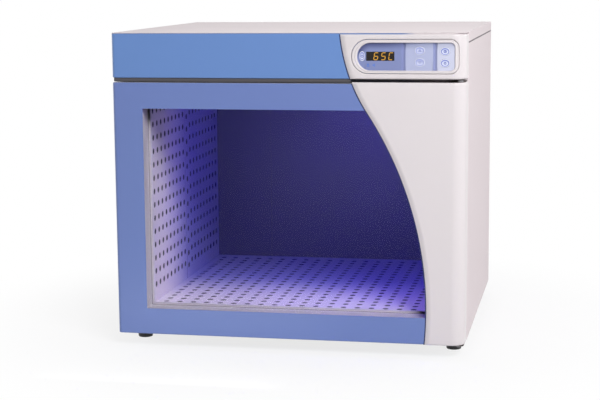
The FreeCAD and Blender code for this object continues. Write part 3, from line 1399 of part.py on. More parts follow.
def make_glass():
    """Outer pane, the tape that bonds it to the skin, and the inner pane."""
    x0 = WINDOW_LEFT - GLASS_EDGE_COVER
    x1 = REVEAL_HALF + GLASS_EDGE_COVER
    z0 = WINDOW_BOTTOM - GLASS_EDGE_COVER
    z1 = WINDOW_TOP + GLASS_EDGE_COVER
    save("glass_outer", box(x0, x1, OUTER_GLASS_Y, OUTER_GLASS_Y + GLASS, z0, z1))
    tape = box(x0, x1, SKIN_Y + SHEET, OUTER_GLASS_Y, z0, z1)
    window = swoosh_block(
        WINDOW_LEFT - 1, WINDOW_BOTTOM - 1, WINDOW_TOP + 1, SKIN_Y, OUTER_GLASS_Y + 1, SWOOSH_LAP + 1
    )
    save("glazing_tape", tape.cut(window))
    half = REVEAL_HALF - SEAT_GAP
    z0 = REVEAL_BOTTOM + SEAT_GAP
    z1 = REVEAL_TOP - SEAT_GAP
    save("glass_inner", box(-half, half, INNER_GLASS_Y, INNER_GLASS_Y + GLASS, z0, z1))


def make_door_gasket():
    """Frame seal: a flat base on the door and a narrower bulb towards the casing."""
    half = CLEAR_HALF + GASKET_MARGIN
    y0 = DOOR_BACK_Y
    y1 = FACE_Y - SEAT_GAP
    z0 = FLOOR_Z - GASKET_MARGIN
    z1 = OPENING_TOP + GASKET_MARGIN
    base = ring_frame(-half, half, y0, y0 + GASKET_BASE, z0, z1, GASKET_WIDTH, GASKET_WIDTH)
    band = GASKET_WIDTH - 2 * BULB_INSET
    half -= BULB_INSET
    bulb = ring_frame(-half, half, y0, y1, z0 + BULB_INSET, z1 - BULB_INSET, band, band)
    save("door_gasket", base.fuse(bulb).removeSplitter())


def pull_span():
    """Front and rear of the pull's cup, between the door's rounded corner and the liner."""
    front = SKIN_Y + LEFT_CORNER_R + PULL_LIP + SEAT_GAP
    rear = DOOR_BACK_Y - LINER_RIM - PULL_LIP - SEAT_GAP
    return front, rear


def pull_box(grow):
    """Space that the edge pull takes out of the door's free edge."""
    front, rear = pull_span()
    half = PULL_LENGTH / 2 + grow
    return box(
        -HALF - 1, -HALF + PULL_DEPTH, front - grow, rear + grow, HANDLE_Z - half, HANDLE_Z + half
    )


def make_edge_pull():
    """Moulded finger cup in the door's free edge, held by a lip behind the skin."""
    y0, y1 = pull_span()
    z0 = HANDLE_Z - PULL_LENGTH / 2
    z1 = HANDLE_Z + PULL_LENGTH / 2
    wall = PULL_WALL
    floor_x = -HALF + PULL_DEPTH
    cup = box(-HALF, floor_x, y0, y1, z0, z1)
    lip_x = -HALF + SHEET + FIT_GAP / 2
    lip = box(lip_x, lip_x + wall, y0 - PULL_LIP, y1 + PULL_LIP, z0 - PULL_LIP, z1 + PULL_LIP)
    hollow = box(-HALF - 1, floor_x - wall, y0 + wall, y1 - wall, z0 + wall, z1 - wall)
    deep = []
    for edge in hollow.Edges:
        if min(v.X for v in edge.Vertexes) > -HALF:
            deep.append(edge)
    hollow = hollow.makeFillet(PULL_FLOOR_R, deep)
    save("edge_pull", cup.fuse(lip).cut(hollow))


def make_catch():
    """Magnet block on the casing and the steel strike on the door's back."""
    x0 = -HALF + CATCH_INSET
    x1 = x0 + CATCH_WIDTH
    z0 = HANDLE_Z - CATCH_LENGTH / 2
    z1 = HANDLE_Z + CATCH_LENGTH / 2
    strike_y = DOOR_BACK_Y + STRIKE_THICKNESS
    block = box(x0, x1, strike_y + SEAT_GAP, FACE_Y, z0, z1)
    along_y = []
    for edge in block.Edges:
        a, b = edge.Vertexes[0], edge.Vertexes[-1]
        if abs(a.X - b.X) < 1e-6 and abs(a.Z - b.Z) < 1e-6:
            along_y.append(edge)
    save("magnet_catch", block.makeFillet(CATCH_EDGE_R, along_y))
    more = STRIKE_MARGIN
    strike = box(x0 - more, x1 + more, DOOR_BACK_Y, strike_y, z0 - 2 * more, z1 + 2 * more)
    save("strike_plate", strike)


# ---------------------------------------------------------------- hinges
def hinge_stack(side):
    """Heights from the door's edge outwards: bush flange, leaf near and far faces."""
    edge = DOOR_TOP if side > 0 else DOOR_BOTTOM
    flange = edge + side * BUSH_FLANGE
    near = flange + side * SEAT_GAP
    return edge, flange, near, near + side * BRACKET_SHEET


def bracket_screw_places(side):
    """Two screws through each bracket's wall flange, in X and Z."""
    far = hinge_stack(side)[3]
    z = far - side * (BRACKET_FLANGE_HEIGHT - BRACKET_SCREW_RISE)
    x = PIVOT_X - (BRACKET_TAIL + 1) / 2
    return [(x - BRACKET_SCREW_PITCH / 2, z), (x + BRACKET_SCREW_PITCH / 2, z)]


def span(a, b):
    return min(a, b), max(a, b)


def make_hinges():
    """Two pivot brackets on the casing, their pins, and the bushes in the door."""
    brackets = []
    pins = []
    bushes = []
    for side in (1, -1):
        edge, flange, near, far = hinge_stack(side)
        z0, z1 = span(near, far)
        leaf = box(
            PIVOT_X - BRACKET_HALF_WIDTH, PIVOT_X + BRACKET_HALF_WIDTH, PIVOT_Y, FACE_Y, z0, z1
        )
        nose = rod_z(PIVOT_X, PIVOT_Y, z0, z1, BRACKET_HALF_WIDTH)
        w0, w1 = span(far, far - side * BRACKET_FLANGE_HEIGHT)
        wall = box(
            PIVOT_X - BRACKET_HALF_WIDTH - BRACKET_TAIL,
            PIVOT_X + BRACKET_HALF_WIDTH,
            FACE_Y - BRACKET_SHEET,
            FACE_Y,
            w0,
            w1,
        )
        bracket = leaf.fuse([nose, wall]).cut(rod_z(PIVOT_X, PIVOT_Y, z0 - 1, z1 + 1, PIN_R))
        for x, z in bracket_screw_places(side):
            hole = rod_y(x, z, FACE_Y - BRACKET_SHEET - 1, FACE_Y + 1, CASING_SCREW_R)
            bracket = bracket.cut(hole)
        brackets.append(bracket)
        h0, h1 = span(far, far + side * PIN_HEAD)
        p0, p1 = span(far, edge - side * (BUSH_LENGTH - PIN_END_PLAY))
        head = rod_z(PIVOT_X, PIVOT_Y, h0, h1, PIN_HEAD_R)
        pins.append(head.fuse(rod_z(PIVOT_X, PIVOT_Y, p0, p1, PIN_R)))
        f0, f1 = span(edge, flange)
        b0, b1 = span(edge, edge - side * BUSH_LENGTH)
        bush = rod_z(PIVOT_X, PIVOT_Y, f0, f1, BUSH_FLANGE_R)
        bush = bush.fuse(rod_z(PIVOT_X, PIVOT_Y, b0, b1, BUSH_R))
        bore = rod_z(PIVOT_X, PIVOT_Y, min(f0, b0) - 1, max(f1, b1) + 1, PIN_R + PIN_RUNNING_CLEARANCE)
        bushes.append(bush.cut(bore))
    save_group("hinge_brackets", brackets)
    save_group("hinge_pins", pins)
    save_group("hinge_bushes", bushes)


def main():
    os.makedirs("parts", exist_ok=True)
    make_base_pan()
    make_side_panels()
    make_rear_panel()
    make_top_cover()
    make_face_frame()
    make_screws()
    make_feet()
    make_insulation()
    make_chamber()
    make_ceiling_panel()
    make_duct_panels()
    make_floor_panel()
    make_lamp()
    make_impeller()
    make_intake_guard()
    make_fan_motor()
    make_heater()
    make_heater_clips()
    make_sensors()
    make_component_deck()
    make_power_supply()
    make_heater_relay()
    make_power_module()
    make_rocker()
    make_head_fascia()
    make_control_cover()
    make_bezel_ring()
    make_control_overlay()
    make_keys()
    make_display_module()
    make_control_board()
    make_door_skin()
    make_door_cover()
    make_door_liner()
    make_glass()
    make_door_gasket()
    make_edge_pull()
    make_catch()
    make_hinges()


main()
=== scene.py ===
"""Looks of a counter-top blanket warming cabinet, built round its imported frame.

The frame is in metres: origin on the standing surface under the middle of the cabinet,
+X to the right as seen from the front, +Y to the rear, +Z up. Sizes in this file are
written in millimetres and turned to metres by MM, and a length or place without a unit
is in metres. Each sub-assembly is a class: it builds the surfaces that the frame keeps
plain, and dresses the frame's own nodes.
"""

import logging
import math
from dataclasses import dataclass, replace
from enum import Enum
from functools import lru_cache
from typing import Any, Iterable, Sequence

import bmesh
import bpy
import numpy as np
from mathutils import Matrix, Vector


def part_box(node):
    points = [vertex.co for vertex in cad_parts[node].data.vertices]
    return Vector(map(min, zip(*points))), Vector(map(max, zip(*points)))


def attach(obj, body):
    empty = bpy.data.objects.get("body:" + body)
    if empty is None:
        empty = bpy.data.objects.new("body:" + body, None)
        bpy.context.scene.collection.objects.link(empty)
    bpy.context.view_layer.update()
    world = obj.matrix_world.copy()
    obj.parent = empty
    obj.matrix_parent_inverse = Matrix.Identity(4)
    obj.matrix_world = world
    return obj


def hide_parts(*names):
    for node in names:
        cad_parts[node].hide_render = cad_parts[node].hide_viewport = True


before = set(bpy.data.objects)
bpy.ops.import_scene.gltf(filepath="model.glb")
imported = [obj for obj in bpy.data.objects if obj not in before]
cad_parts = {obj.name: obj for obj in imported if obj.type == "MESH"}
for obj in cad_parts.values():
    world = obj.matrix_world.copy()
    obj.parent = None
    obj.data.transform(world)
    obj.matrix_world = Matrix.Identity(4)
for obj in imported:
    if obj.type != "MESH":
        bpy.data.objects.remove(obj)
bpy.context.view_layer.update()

MM = 0.001
# Vertices nearer than WELD are joined and edges shorter than SLIVER go, both in metres.
# Edges that turn by more than SHARP_ANGLE stay sharp.
WELD = 1e-6
SLIVER = 1e-7
SHARP_ANGLE = math.radians(40.0)
LOG = logging.getLogger("warming_cabinet")

Array = np.ndarray
Pair = tuple[float, float]
Colour = tuple[float, float, float, float]
# Points of a mesh, and its faces by the numbers of their corners.
Surface = tuple[Array, Array]
Socket = bpy.types.NodeSocket


# ---------- shared helpers
def paint(red: float, green: float, blue: float) -> Colour:
    """Turn a display colour into the linear one that a shader socket takes.

    Each share of 255, with 0.055 added and over 1.055, is raised to a power of 2.4.

    Args:
        red: Red, 0 to 255.
        green: Green, 0 to 255.
        blue: Blue, 0 to 255.

    Returns:
        Linear red, green, blue and an alpha of one.
    """
    linear = [((c / 255 + 0.055) / 1.055) ** 2.4 for c in (red, green, blue)]
    return (*linear, 1.0)


def rounded_edge(distance: Array, width: float) -> Array:
    """Quarter of an ellipse: nought on an edge and one from a width inside it onwards.

    The formula is the root of one less the square of what is left of the width.

    Args:
        distance: Distances from the edge.
        width: How far in the rounding reaches.

    Returns:
        The rounding's share of the full height, 0 to 1.
    """
    left = 1.0 - np.clip(distance / width, 0.0, 1.0)
    return np.sqrt(1.0 - left * left)


def sloped_edge(distance: Array, width: float) -> Array:
    """Slope that flattens inwards: nought on an edge and one from a width inside it.

    The formula is one less what is left of the width, raised to a power of 1.7.

    Args:
        distance: Distances from the edge.
        width: How far in the slope reaches.

    Returns:
        The slope's share of the full height, 0 to 1.
    """
    return 1.0 - (1.0 - np.clip(distance / width, 0.0, 1.0)) ** 1.7


def points_at(x: Any, y: Any, z: Any) -> Array:
    """Points from their three coordinates, each spread over the shape of the others."""
    return np.stack(np.broadcast_arrays(x, y, z), axis=-1)


def grid_quads(rows: int, columns: int, wrap: bool = False, start: int = 0) -> Array:
    """Corner numbers of the quads of a grid whose vertices are numbered row by row.

    Args:
        rows: Count of vertex rows.
        columns: Count of vertices in a row.
        wrap: Whether each row closes on itself.
        start: Number of the first vertex.

    Returns:
        One row of four corner numbers for each quad.
    """
    r, c = np.meshgrid(
        np.arange(rows - 1), np.arange(columns if wrap else columns - 1), indexing="ij"
    )
    across = (c + 1) % columns
    corners = [r * columns + c, r * columns + across, (r + 1) * columns + across, (r + 1) * columns + c]
    return np.stack(corners, axis=-1).reshape(-1, 4) + start


def make_piece(
    name: str,
    points: Array,
    faces: Array | list,
    finish: "Finish",
    body: str,
    slot: str,
    replaces: Sequence[str] = (),
    facing: Vector | None = None,
    uv: Array | None = None,
    sheet: float = 0.0,
) -> None:
    """Put points and faces into a mesh object and join it to its body.

    Args:
        name: Name of the piece.
        points: Vertex places, in metres, in the frame's own axes.
        faces: Corner numbers of each face.
        finish: What the piece is made of.
        body: Body that the piece rides on.
        slot: Material slot of the record that it stands for; not used.
        replaces: Nodes of the frame that it is shown instead of.
        facing: Way that an open surface looks; a closed one has its faces turned outwards.
        uv: Pattern coordinates of each vertex, where a pattern follows the surface.
        sheet: Thickness that an open surface is given behind it.
    """
    mesh = bpy.data.meshes.new(name)
    mesh.from_pydata(np.asarray(points).reshape(-1, 3).tolist(), [], np.asarray(faces).tolist())
    if uv is not None:
        layer = mesh.uv_layers.new(name="pattern")
        corners = np.empty(len(mesh.loops), dtype=np.int64)
        mesh.loops.foreach_get("vertex_index", corners)
        layer.data.foreach_set("uv", np.asarray(uv, dtype=np.float32)[corners].ravel())
    weld = bmesh.new()
    weld.from_mesh(mesh)
    bmesh.ops.remove_doubles(weld, verts=weld.verts, dist=WELD)
    bmesh.ops.dissolve_degenerate(weld, edges=weld.edges, dist=SLIVER)
    if facing is None:
        bmesh.ops.recalc_face_normals(weld, faces=weld.faces)
    else:
        weld.normal_update()
        bmesh.ops.reverse_faces(weld, faces=[f for f in weld.faces if f.normal.dot(facing) < 0])
    if sheet:
        bmesh.ops.solidify(weld, geom=weld.faces[:], thickness=sheet)
    weld.to_mesh(mesh)
    weld.free()
    mesh.polygons.foreach_set("use_smooth", np.ones(len(mesh.polygons), dtype=bool))
    mesh.set_sharp_from_angle(angle=SHARP_ANGLE)
    mesh.materials.append(finish.material())
    mesh.update()
    piece = bpy.data.objects.new(name, mesh)
    bpy.context.scene.collection.objects.link(piece)
    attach(piece, body)
    if replaces:
        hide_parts(*replaces)
    LOG.info("%s: %d faces on %s", name, len(mesh.polygons), body)


def dress(nodes: Iterable[str], finish: "Finish") -> None:
    """Give nodes of the frame their finish.

    Args:
        nodes: Names of the nodes.
        finish: What they are made of.
    """
    for name in nodes:
        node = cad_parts[name]
        if not node.material_slots:
            node.data.materials.append(None)
        for place in node.material_slots:
            place.material = finish.material()
        LOG.info("%s: %s", name, finish.name)


def slab(outer: Array, inner: Array) -> Surface:
    """Close two matching open grids into one solid, joined along their four borders.

    Args:
        outer: Grid of points of the outer face.
        inner: Grid of points of the inner face, of the same shape.

    Returns:
        The points and the faces.
    """
    rows, columns = outer.shape[:2]
    count = rows * columns
    number = np.arange(count).reshape(rows, columns)
    rim = np.concatenate([number[0], number[1:, -1], number[-1, -2::-1], number[-2:0:-1, 0]])
    after = np.roll(rim, -1)
    walls = np.stack([rim, after, after + count, rim + count], axis=-1)
    faces = np.concatenate(
        [grid_quads(rows, columns), grid_quads(rows, columns, start=count)[:, ::-1], walls]
    )
    return np.concatenate([outer.reshape(-1, 3), inner.reshape(-1, 3)]), faces


def tube_of_rings(rings: Array) -> Surface:
    """Skin closed rings of points one after another, and close the last onto the first.

    Args:
        rings: Rings by points by three coordinates.

    Returns:
        The points and the faces.
    """
    closed = np.concatenate([rings, rings[:1]])
    return closed.reshape(-1, 3), grid_quads(closed.shape[0], closed.shape[1], wrap=True)


def lathe(profile: Array, centre: Sequence[float], turns: int = 48) -> Array:
    """Turn a profile about an upright axis.

    Each point is the axis plus the profile's radius along the cosine and sine of the
    angle, at the profile's height.

    Args:
        profile: Radius and height of each point.
        centre: Place of the axis at height nought.
        turns: Count of points round the axis.

    Returns:
        Rings of points, one for each point of the profile.
    """
    radius, height = profile[:, :1], profile[:, 1:]
    angle = np.linspace(0, 2 * np.pi, turns, endpoint=False)
    return points_at(radius * np.cos(angle), radius * np.sin(angle), height) + np.array(centre)


def joined(parts: Sequence[Surface]) -> Surface:
    """Put several surfaces of quads into one, moving their corner numbers along.

    Args:
        parts: Points and faces of each surface.

    Returns:
        All points and all faces.
    """
    points = [np.asarray(p).reshape(-1, 3) for p, _ in parts]
    starts = np.cumsum([0] + [len(p) for p in points[:-1]])
    faces = [np.asarray(f) + start for (_, f), start in zip(parts, starts)]
    return np.concatenate(points), np.concatenate(faces)


def solids_of(name: str) -> list[tuple[Vector, Vector]]:
    """Boxes of the separate solids that one node of the frame holds.

    Args:
        name: Name of the node.

    Returns:
        Lowest and highest corner of each solid.
    """
    net = bmesh.new()
    net.from_mesh(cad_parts[name].data)
    bmesh.ops.remove_doubles(net, verts=net.verts, dist=WELD)
    left = set(net.verts)
    boxes = []
    while left:
        front = [left.pop()]
        places = []
        while front:
            vertex = front.pop()
            places.append(vertex.co.copy())
            near = [e.other_vert(vertex) for e in vertex.link_edges]
            fresh = [v for v in near if v in left]
            left.difference_update(fresh)
            front += fresh
        corners = np.array(places)
        boxes.append((Vector(corners.min(axis=0)), Vector(corners.max(axis=0))))
    net.free()
    return boxes


# ---------- shader groups
class Tree:
    """Adds nodes to one shader tree and links them by their sockets."""

    def __init__(self, tree: bpy.types.NodeTree) -> None:
        """Keep the tree of a material or a node group."""
        self.tree = tree

    def add(self, kind: str, inputs: dict[Any, Any] | None = None, **settings: Any) -> bpy.types.Node:
        """Add one node.

        Args:
            kind: Type of the node.
            inputs: Socket names or numbers, each with a value or an output to link.
            **settings: Properties of the node itself.

        Returns:
            The new node.
        """
        node = self.tree.nodes.new(kind)
        for key, value in settings.items():
            setattr(node, key, value)
        for key, value in (inputs or {}).items():
            if isinstance(value, Socket):
                self.tree.links.new(value, node.inputs[key])
            else:
                node.inputs[key].default_value = value
        return node

    def group(self, group: bpy.types.NodeTree, inputs: dict[str, Any]) -> bpy.types.Node:
        """Place a node group in the tree, with its own values."""
        return self.add("ShaderNodeGroup", inputs, node_tree=group)

    def mix(self, factor: Any, first: Any, second: Any, blend: str = "MIX") -> Socket:
        """Mix two colours and return the result."""
        inputs = {0: factor, 6: first, 7: second}
        return self.add("ShaderNodeMix", inputs, data_type="RGBA", blend_type=blend).outputs[2]

    def maths(self, operation: str, *values: Any) -> Socket:
        """Work out one value from one to three others and return the result."""
        return self.add("ShaderNodeMath", dict(enumerate(values)), operation=operation).outputs[0]

    def stretch(self, value: Any, low: Any, high: Any, to_low: float = 0.0, to_high: float = 1.0) -> Any:
        """Carry a span of values over to another span and return the result."""
        inputs = {"Value": value, "From Min": low, "From Max": high, "To Min": to_low, "To Max": to_high}
        return self.add("ShaderNodeMapRange", inputs, interpolation_type="SMOOTHSTEP").outputs[0]

    def noise(self, scale: Any, detail: float, vector: Any = None) -> Socket:
        """Noise over the piece's own coordinates.

        Args:
            scale: Lumps in a metre.
            detail: How many finer noises are laid over the first.
            vector: Coordinates to take instead of the piece's own.

        Returns:
            The noise, as a value from 0 to 1.
        """
        place = vector or self.add("ShaderNodeTexCoord").outputs["Object"]
        inputs = {"Vector": place, "Scale": scale, "Detail": detail, "Roughness": 0.55}
        return self.add("ShaderNodeTexNoise", inputs).outputs[0]

    def axis(self, name: str) -> Socket:
        """One coordinate of the piece, "X", "Y" or "Z"."""
        place = self.add("ShaderNodeTexCoord").outputs["Object"]
        return self.add("ShaderNodeSeparateXYZ", {0: place}).outputs[name]


def emptied(owner: bpy.types.Material | bpy.types.World) -> Tree:
    """Turn on the nodes of a material or of a world and empty them.

    Args:
        owner: Material or world.

    Returns:
        Its tree.
    """
    owner.use_nodes = True
    owner.node_tree.nodes.clear()
    return Tree(owner.node_tree)


def open_group(name: str, inputs: dict[str, tuple[str, Any]], outputs: dict[str, str]) -> tuple:
    """Start a shader node group with named sockets.

    Args:
        name: Name of the group.
        inputs: Name of each input, with its kind and its usual value.
        outputs: Name of each output, with its kind.

    Returns:
        The group, its tree and what its inputs give, by their names.
    """
    group = bpy.data.node_groups.new(name, "ShaderNodeTree")
    for key, (kind, value) in inputs.items():
        socket = group.interface.new_socket(key, in_out="INPUT", socket_type="NodeSocket" + kind)
        socket.default_value = value
    for key, kind in outputs.items():
        group.interface.new_socket(key, in_out="OUTPUT", socket_type="NodeSocket" + kind)
    tree = Tree(group)
    return group, tree, tree.add("NodeGroupInput").outputs


ANY_COLOUR = ("Color", (0.8, 0.8, 0.8, 1.0))


@lru_cache
def tone_drift() -> bpy.types.NodeTree:
    """Group that lets a colour drift a little lighter and darker over a wide surface.

    The drift is seven tenths of a wide noise and three tenths of a fine one, from -1 to
    1. The colour is multiplied by one plus the drift times its amount.

    Returns:
        The group, which puts out "Colour".
    """
    group, tree, given = open_group(
        "tone_drift",
        {"Colour": ANY_COLOUR, "Amount": ("Float", 0.04), "Scale": ("Float", 4.0)},
        {"Colour": "Color"},
    )
    wide = tree.noise(given["Scale"], 2.0)
    fine = tree.noise(tree.maths("MULTIPLY", given["Scale"], 23.0), 4.0)
    both = tree.maths("ADD", tree.maths("MULTIPLY", wide, 0.7), tree.maths("MULTIPLY", fine, 0.3))
    swing = tree.maths("MULTIPLY", tree.maths("SUBTRACT", both, 0.5), 2.0)
    factor = tree.maths("MULTIPLY_ADD", swing, given["Amount"], 1.0)
    grey = tree.add("ShaderNodeCombineXYZ", {0: factor, 1: factor, 2: factor}).outputs[0]
    colour = tree.mix(1.0, given["Colour"], grey, "MULTIPLY")
    tree.add("NodeGroupOutput", {"Colour": colour})
    return group


@lru_cache
def skin_grain() -> bpy.types.NodeTree:
    """Group for the fine grain of a sprayed or moulded surface.

    The height is the mean of a fine noise and a coarser one. A wide noise moves the
    roughness by up to half its spread either way.

    Returns:
        The group, which puts out "Height" and "Roughness".
    """
    group, tree, given = open_group(
        "skin_grain",
        {"Scale": ("Float", 900.0), "Roughness": ("Float", 0.4), "Spread": ("Float", 0.06)},
        {"Height": "Float", "Roughness": "Float"},
    )
    peel = tree.noise(given["Scale"], 2.0)
    wave = tree.noise(tree.maths("MULTIPLY", given["Scale"], 0.22), 1.0)
    height = tree.maths("ADD", tree.maths("MULTIPLY", peel, 0.5), tree.maths("MULTIPLY", wave, 0.5))
    patch = tree.maths("SUBTRACT", tree.noise(9.0, 4.0), 0.5)
    rough = tree.maths("MULTIPLY_ADD", patch, given["Spread"], given["Roughness"])
    tree.add("NodeGroupOutput", {"Height": height, "Roughness": rough})
    return group


@lru_cache
def edge_wear() -> bpy.types.NodeTree:
    """Group that finds a piece's sharp edges and rubs them to another colour.

    An edge is where the normal of a surface rounded by 1.2 mm leaves the flat one. It is
    rubbed only in the patches of a noise.

    Returns:
        The group, which puts out "Colour".
    """
    group, tree, given = open_group(
        "edge_wear",
        {"Colour": ANY_COLOUR, "Worn Colour": ANY_COLOUR, "Amount": ("Float", 0.3)},
        {"Colour": "Color"},
    )
    rounded = tree.add("ShaderNodeBevel", {"Radius": 1.2 * MM}, samples=3).outputs[0]
    flat = tree.add("ShaderNodeNewGeometry").outputs["Normal"]
    facing = tree.add("ShaderNodeVectorMath", {0: rounded, 1: flat}, operation="DOT_PRODUCT").outputs["Value"]
    edge = tree.stretch(facing, 0.995, 0.80)
    patches = tree.stretch(tree.noise(60.0, 4.0), 0.40, 0.62)
    mask = tree.maths("MULTIPLY", tree.maths("MULTIPLY", edge, patches), given["Amount"])
    colour = tree.mix(mask, given["Colour"], given["Worn Colour"])
    tree.add("NodeGroupOutput", {"Colour": colour})
    return group


@lru_cache
def dust_veil() -> bpy.types.NodeTree:
    """Group that lays a thin veil of dust on faces that look up.

    The veil is a quarter, plus six tenths where there are specks, times soft clouds.

    Returns:
        The group, which puts out "Colour" and "Mask".
    """
    group, tree, given = open_group(
        "dust_veil", {"Colour": ANY_COLOUR, "Amount": ("Float", 0.1)}, {"Colour": "Color", "Mask": "Float"}
    )
    normal = tree.add("ShaderNodeNewGeometry").outputs["Normal"]
    up = tree.stretch(tree.add("ShaderNodeSeparateXYZ", {0: normal}).outputs["Z"], 0.55, 0.95)
    specks = tree.stretch(tree.noise(420.0, 2.0), 0.50, 0.72)
    clouds = tree.stretch(tree.noise(7.0, 4.0), 0.30, 0.75)
    veil = tree.maths("MULTIPLY", tree.maths("MULTIPLY_ADD", specks, 0.6, 0.25), clouds)
    mask = tree.maths("MULTIPLY", tree.maths("MULTIPLY", veil, up), given["Amount"])
    colour = tree.mix(mask, given["Colour"], paint(178, 172, 164))
    tree.add("NodeGroupOutput", {"Colour": colour, "Mask": mask})
    return group


@lru_cache
def brushed_lines() -> bpy.types.NodeTree:
    """Group for the fine lines that rolling and brushing leave in metal.

    The lines are a noise over coordinates that are drawn out along one axis.

    Returns:
        The group, which puts out "Height" and "Roughness".
    """
    group, tree, given = open_group(
        "brushed_lines",
        {"Across": ("Vector", (40.0, 2500.0, 2500.0)), "Roughness": ("Float", 0.3)},
        {"Height": "Float", "Roughness": "Float"},
    )
    place = tree.add("ShaderNodeTexCoord").outputs["Object"]
    inputs = {0: place, 1: given["Across"]}
    drawn = tree.add("ShaderNodeVectorMath", inputs, operation="MULTIPLY").outputs[0]
    lines = tree.noise(1.0, 2.0, drawn)
    rough = tree.maths("MULTIPLY_ADD", tree.maths("SUBTRACT", lines, 0.5), 0.22, given["Roughness"])
    tree.add("NodeGroupOutput", {"Height": lines, "Roughness": rough})
    return group


# ---------- finishes
@dataclass(frozen=True)
class Finish:
    """A surface worked out from the piece's own coordinates.

    Attributes:
        name: Name of the material.
        colour: Colour before drift, wear and dust.
        roughness: Middle roughness.
        metallic: One on bare metal, nought elsewhere.
        drift: How far the colour drifts over the piece.
        drift_scale: Drifts in a metre.
        grain_scale: Grains in a metre.
        grain_depth: Depth of the grain.
        spread: How far the roughness drifts.
        worn: Colour of rubbed edges.
        wear: Strength of that rubbing.
        dust: Strength of the dust on faces that look up.
        coat: Clear coat over the surface.
        sheen: Soft sheen of felt and rubber.
        gloss: Specular level; a half is that of plain plastic.
        dust_dulls: Roughness that full dust adds.
    """

    name: str
    colour: Colour
    roughness: float = 0.45
    metallic: float = 0.0
    drift: float = 0.03
    drift_scale: float = 4.0
    grain_scale: float = 900.0
    grain_depth: float = 0.00002
    spread: float = 0.08
    worn: Colour = (0.85, 0.85, 0.86, 1.0)
    wear: float = 0.0
    dust: float = 0.0
    coat: float = 0.0
    sheen: float = 0.0
    gloss: float = 0.5
    dust_dulls: float = 0.4

    def material(self) -> bpy.types.Material:
        """Find the material, or build it on first use.

        Returns:
            The material.
        """
        known = bpy.data.materials.get("finish_" + self.name)
        if known:
            return known
        made = bpy.data.materials.new("finish_" + self.name)
        made.diffuse_color = self.colour
        tree = emptied(made)
        tree.add("ShaderNodeOutputMaterial", {"Surface": self.surface(tree)})
        return made

    def base_colour(self, tree: Tree) -> Any:
        """Colour before wear and dust, as a value or a socket."""
        return self.drifted(tree, self.colour)

    def drifted(self, tree: Tree, colour: Any) -> Any:
        """Colour with this finish's drift laid over it."""
        inputs = {"Colour": colour, "Amount": self.drift, "Scale": self.drift_scale}
        return tree.group(tone_drift(), inputs).outputs["Colour"]

    def relief(self, tree: Tree) -> tuple[Any, Any]:
        """Grain of the surface.

        Args:
            tree: Tree of the material.

        Returns:
            Its height and its roughness.
        """
        inputs = {"Scale": self.grain_scale, "Roughness": self.roughness, "Spread": self.spread}
        grain = tree.group(skin_grain(), inputs)
        return grain.outputs["Height"], grain.outputs["Roughness"]

    def surface(self, tree: Tree) -> Socket:
        """Lay wear and dust over the colour, and the grain into the normal.

        Args:
            tree: Tree of the material.

        Returns:
            The shader's output.
        """
        colour = self.base_colour(tree)
        height, rough = self.relief(tree)
        if self.wear:
            inputs = {"Colour": colour, "Worn Colour": self.worn, "Amount": self.wear}
            colour = tree.group(edge_wear(), inputs).outputs["Colour"]
        if self.dust:
            veil = tree.group(dust_veil(), {"Colour": colour, "Amount": self.dust})
            colour = veil.outputs["Colour"]
            rough = tree.maths("ADD", rough, tree.maths("MULTIPLY", veil.outputs["Mask"], self.dust_dulls))
        bump = tree.add("ShaderNodeBump", {"Height": height, "Distance": self.grain_depth, "Strength": 1.0})
        inputs = {
            "Base Color": colour,
            "Roughness": rough,
            "Metallic": self.metallic,
            "Normal": bump.outputs[0],
            "Specular IOR Level": self.gloss,
            "Coat Weight": self.coat,
            "Coat Roughness": 0.12,
            "Sheen Weight": self.sheen,
        }
        return tree.add("ShaderNodeBsdfPrincipled", inputs).outputs[0]


@dataclass(frozen=True)
class BrushedMetal(Finish):
    """Plated or brushed metal, its lines drawn along one axis.

    Attributes:
        metallic: One, as on all bare metal.
        across: Lines in a metre along each axis.
    """

    metallic: float = 1.0
    across: tuple[float, float, float] = (40.0, 2500.0, 2500.0)

    def relief(self, tree: Tree) -> tuple[Any, Any]:
        """Drawn lines of the metal.

        Args:
            tree: Tree of the material.

        Returns:
            Their height and roughness.
        """
        inputs = {"Across": self.across, "Roughness": self.roughness}
        lines = tree.group(brushed_lines(), inputs)
        return lines.outputs["Height"], lines.outputs["Roughness"]


@dataclass(frozen=True)
class Glass(Finish):
    """Clear pane with little gloss, which lets the lamps' light through.

    Attributes:
        tint: What each face leaves of the light that is seen through it.
        shade: What each face leaves of the lamps' light that falls through it.
        ior: Index of refraction; a low one stands for glass that is coated against glare.
    """

    tint: Colour = (0.95, 0.955, 0.97, 1.0)
    shade: Colour = (0.88, 0.88, 0.89, 1.0)
    ior: float = 1.10

    def surface(self, tree: Tree) -> Socket:
        """Clear glass, which casts only a faint shadow.

        Args:
            tree: Tree of the material.

        Returns:
            The shader's output.
        """
        inputs = {
            "Base Color": self.tint,
            "Roughness": 0.0,
            "Metallic": 0.0,
            "IOR": self.ior,
            "Transmission Weight": 1.0,
        }
        pane = tree.add("ShaderNodeBsdfPrincipled", inputs)
        clear = tree.add("ShaderNodeBsdfTransparent", {"Color": self.shade})
        shadow = tree.add("ShaderNodeLightPath").outputs["Is Shadow Ray"]
        mixed = tree.add("ShaderNodeMixShader", {0: shadow, 1: pane.outputs[0], 2: clear.outputs[0]})
        return mixed.outputs[0]


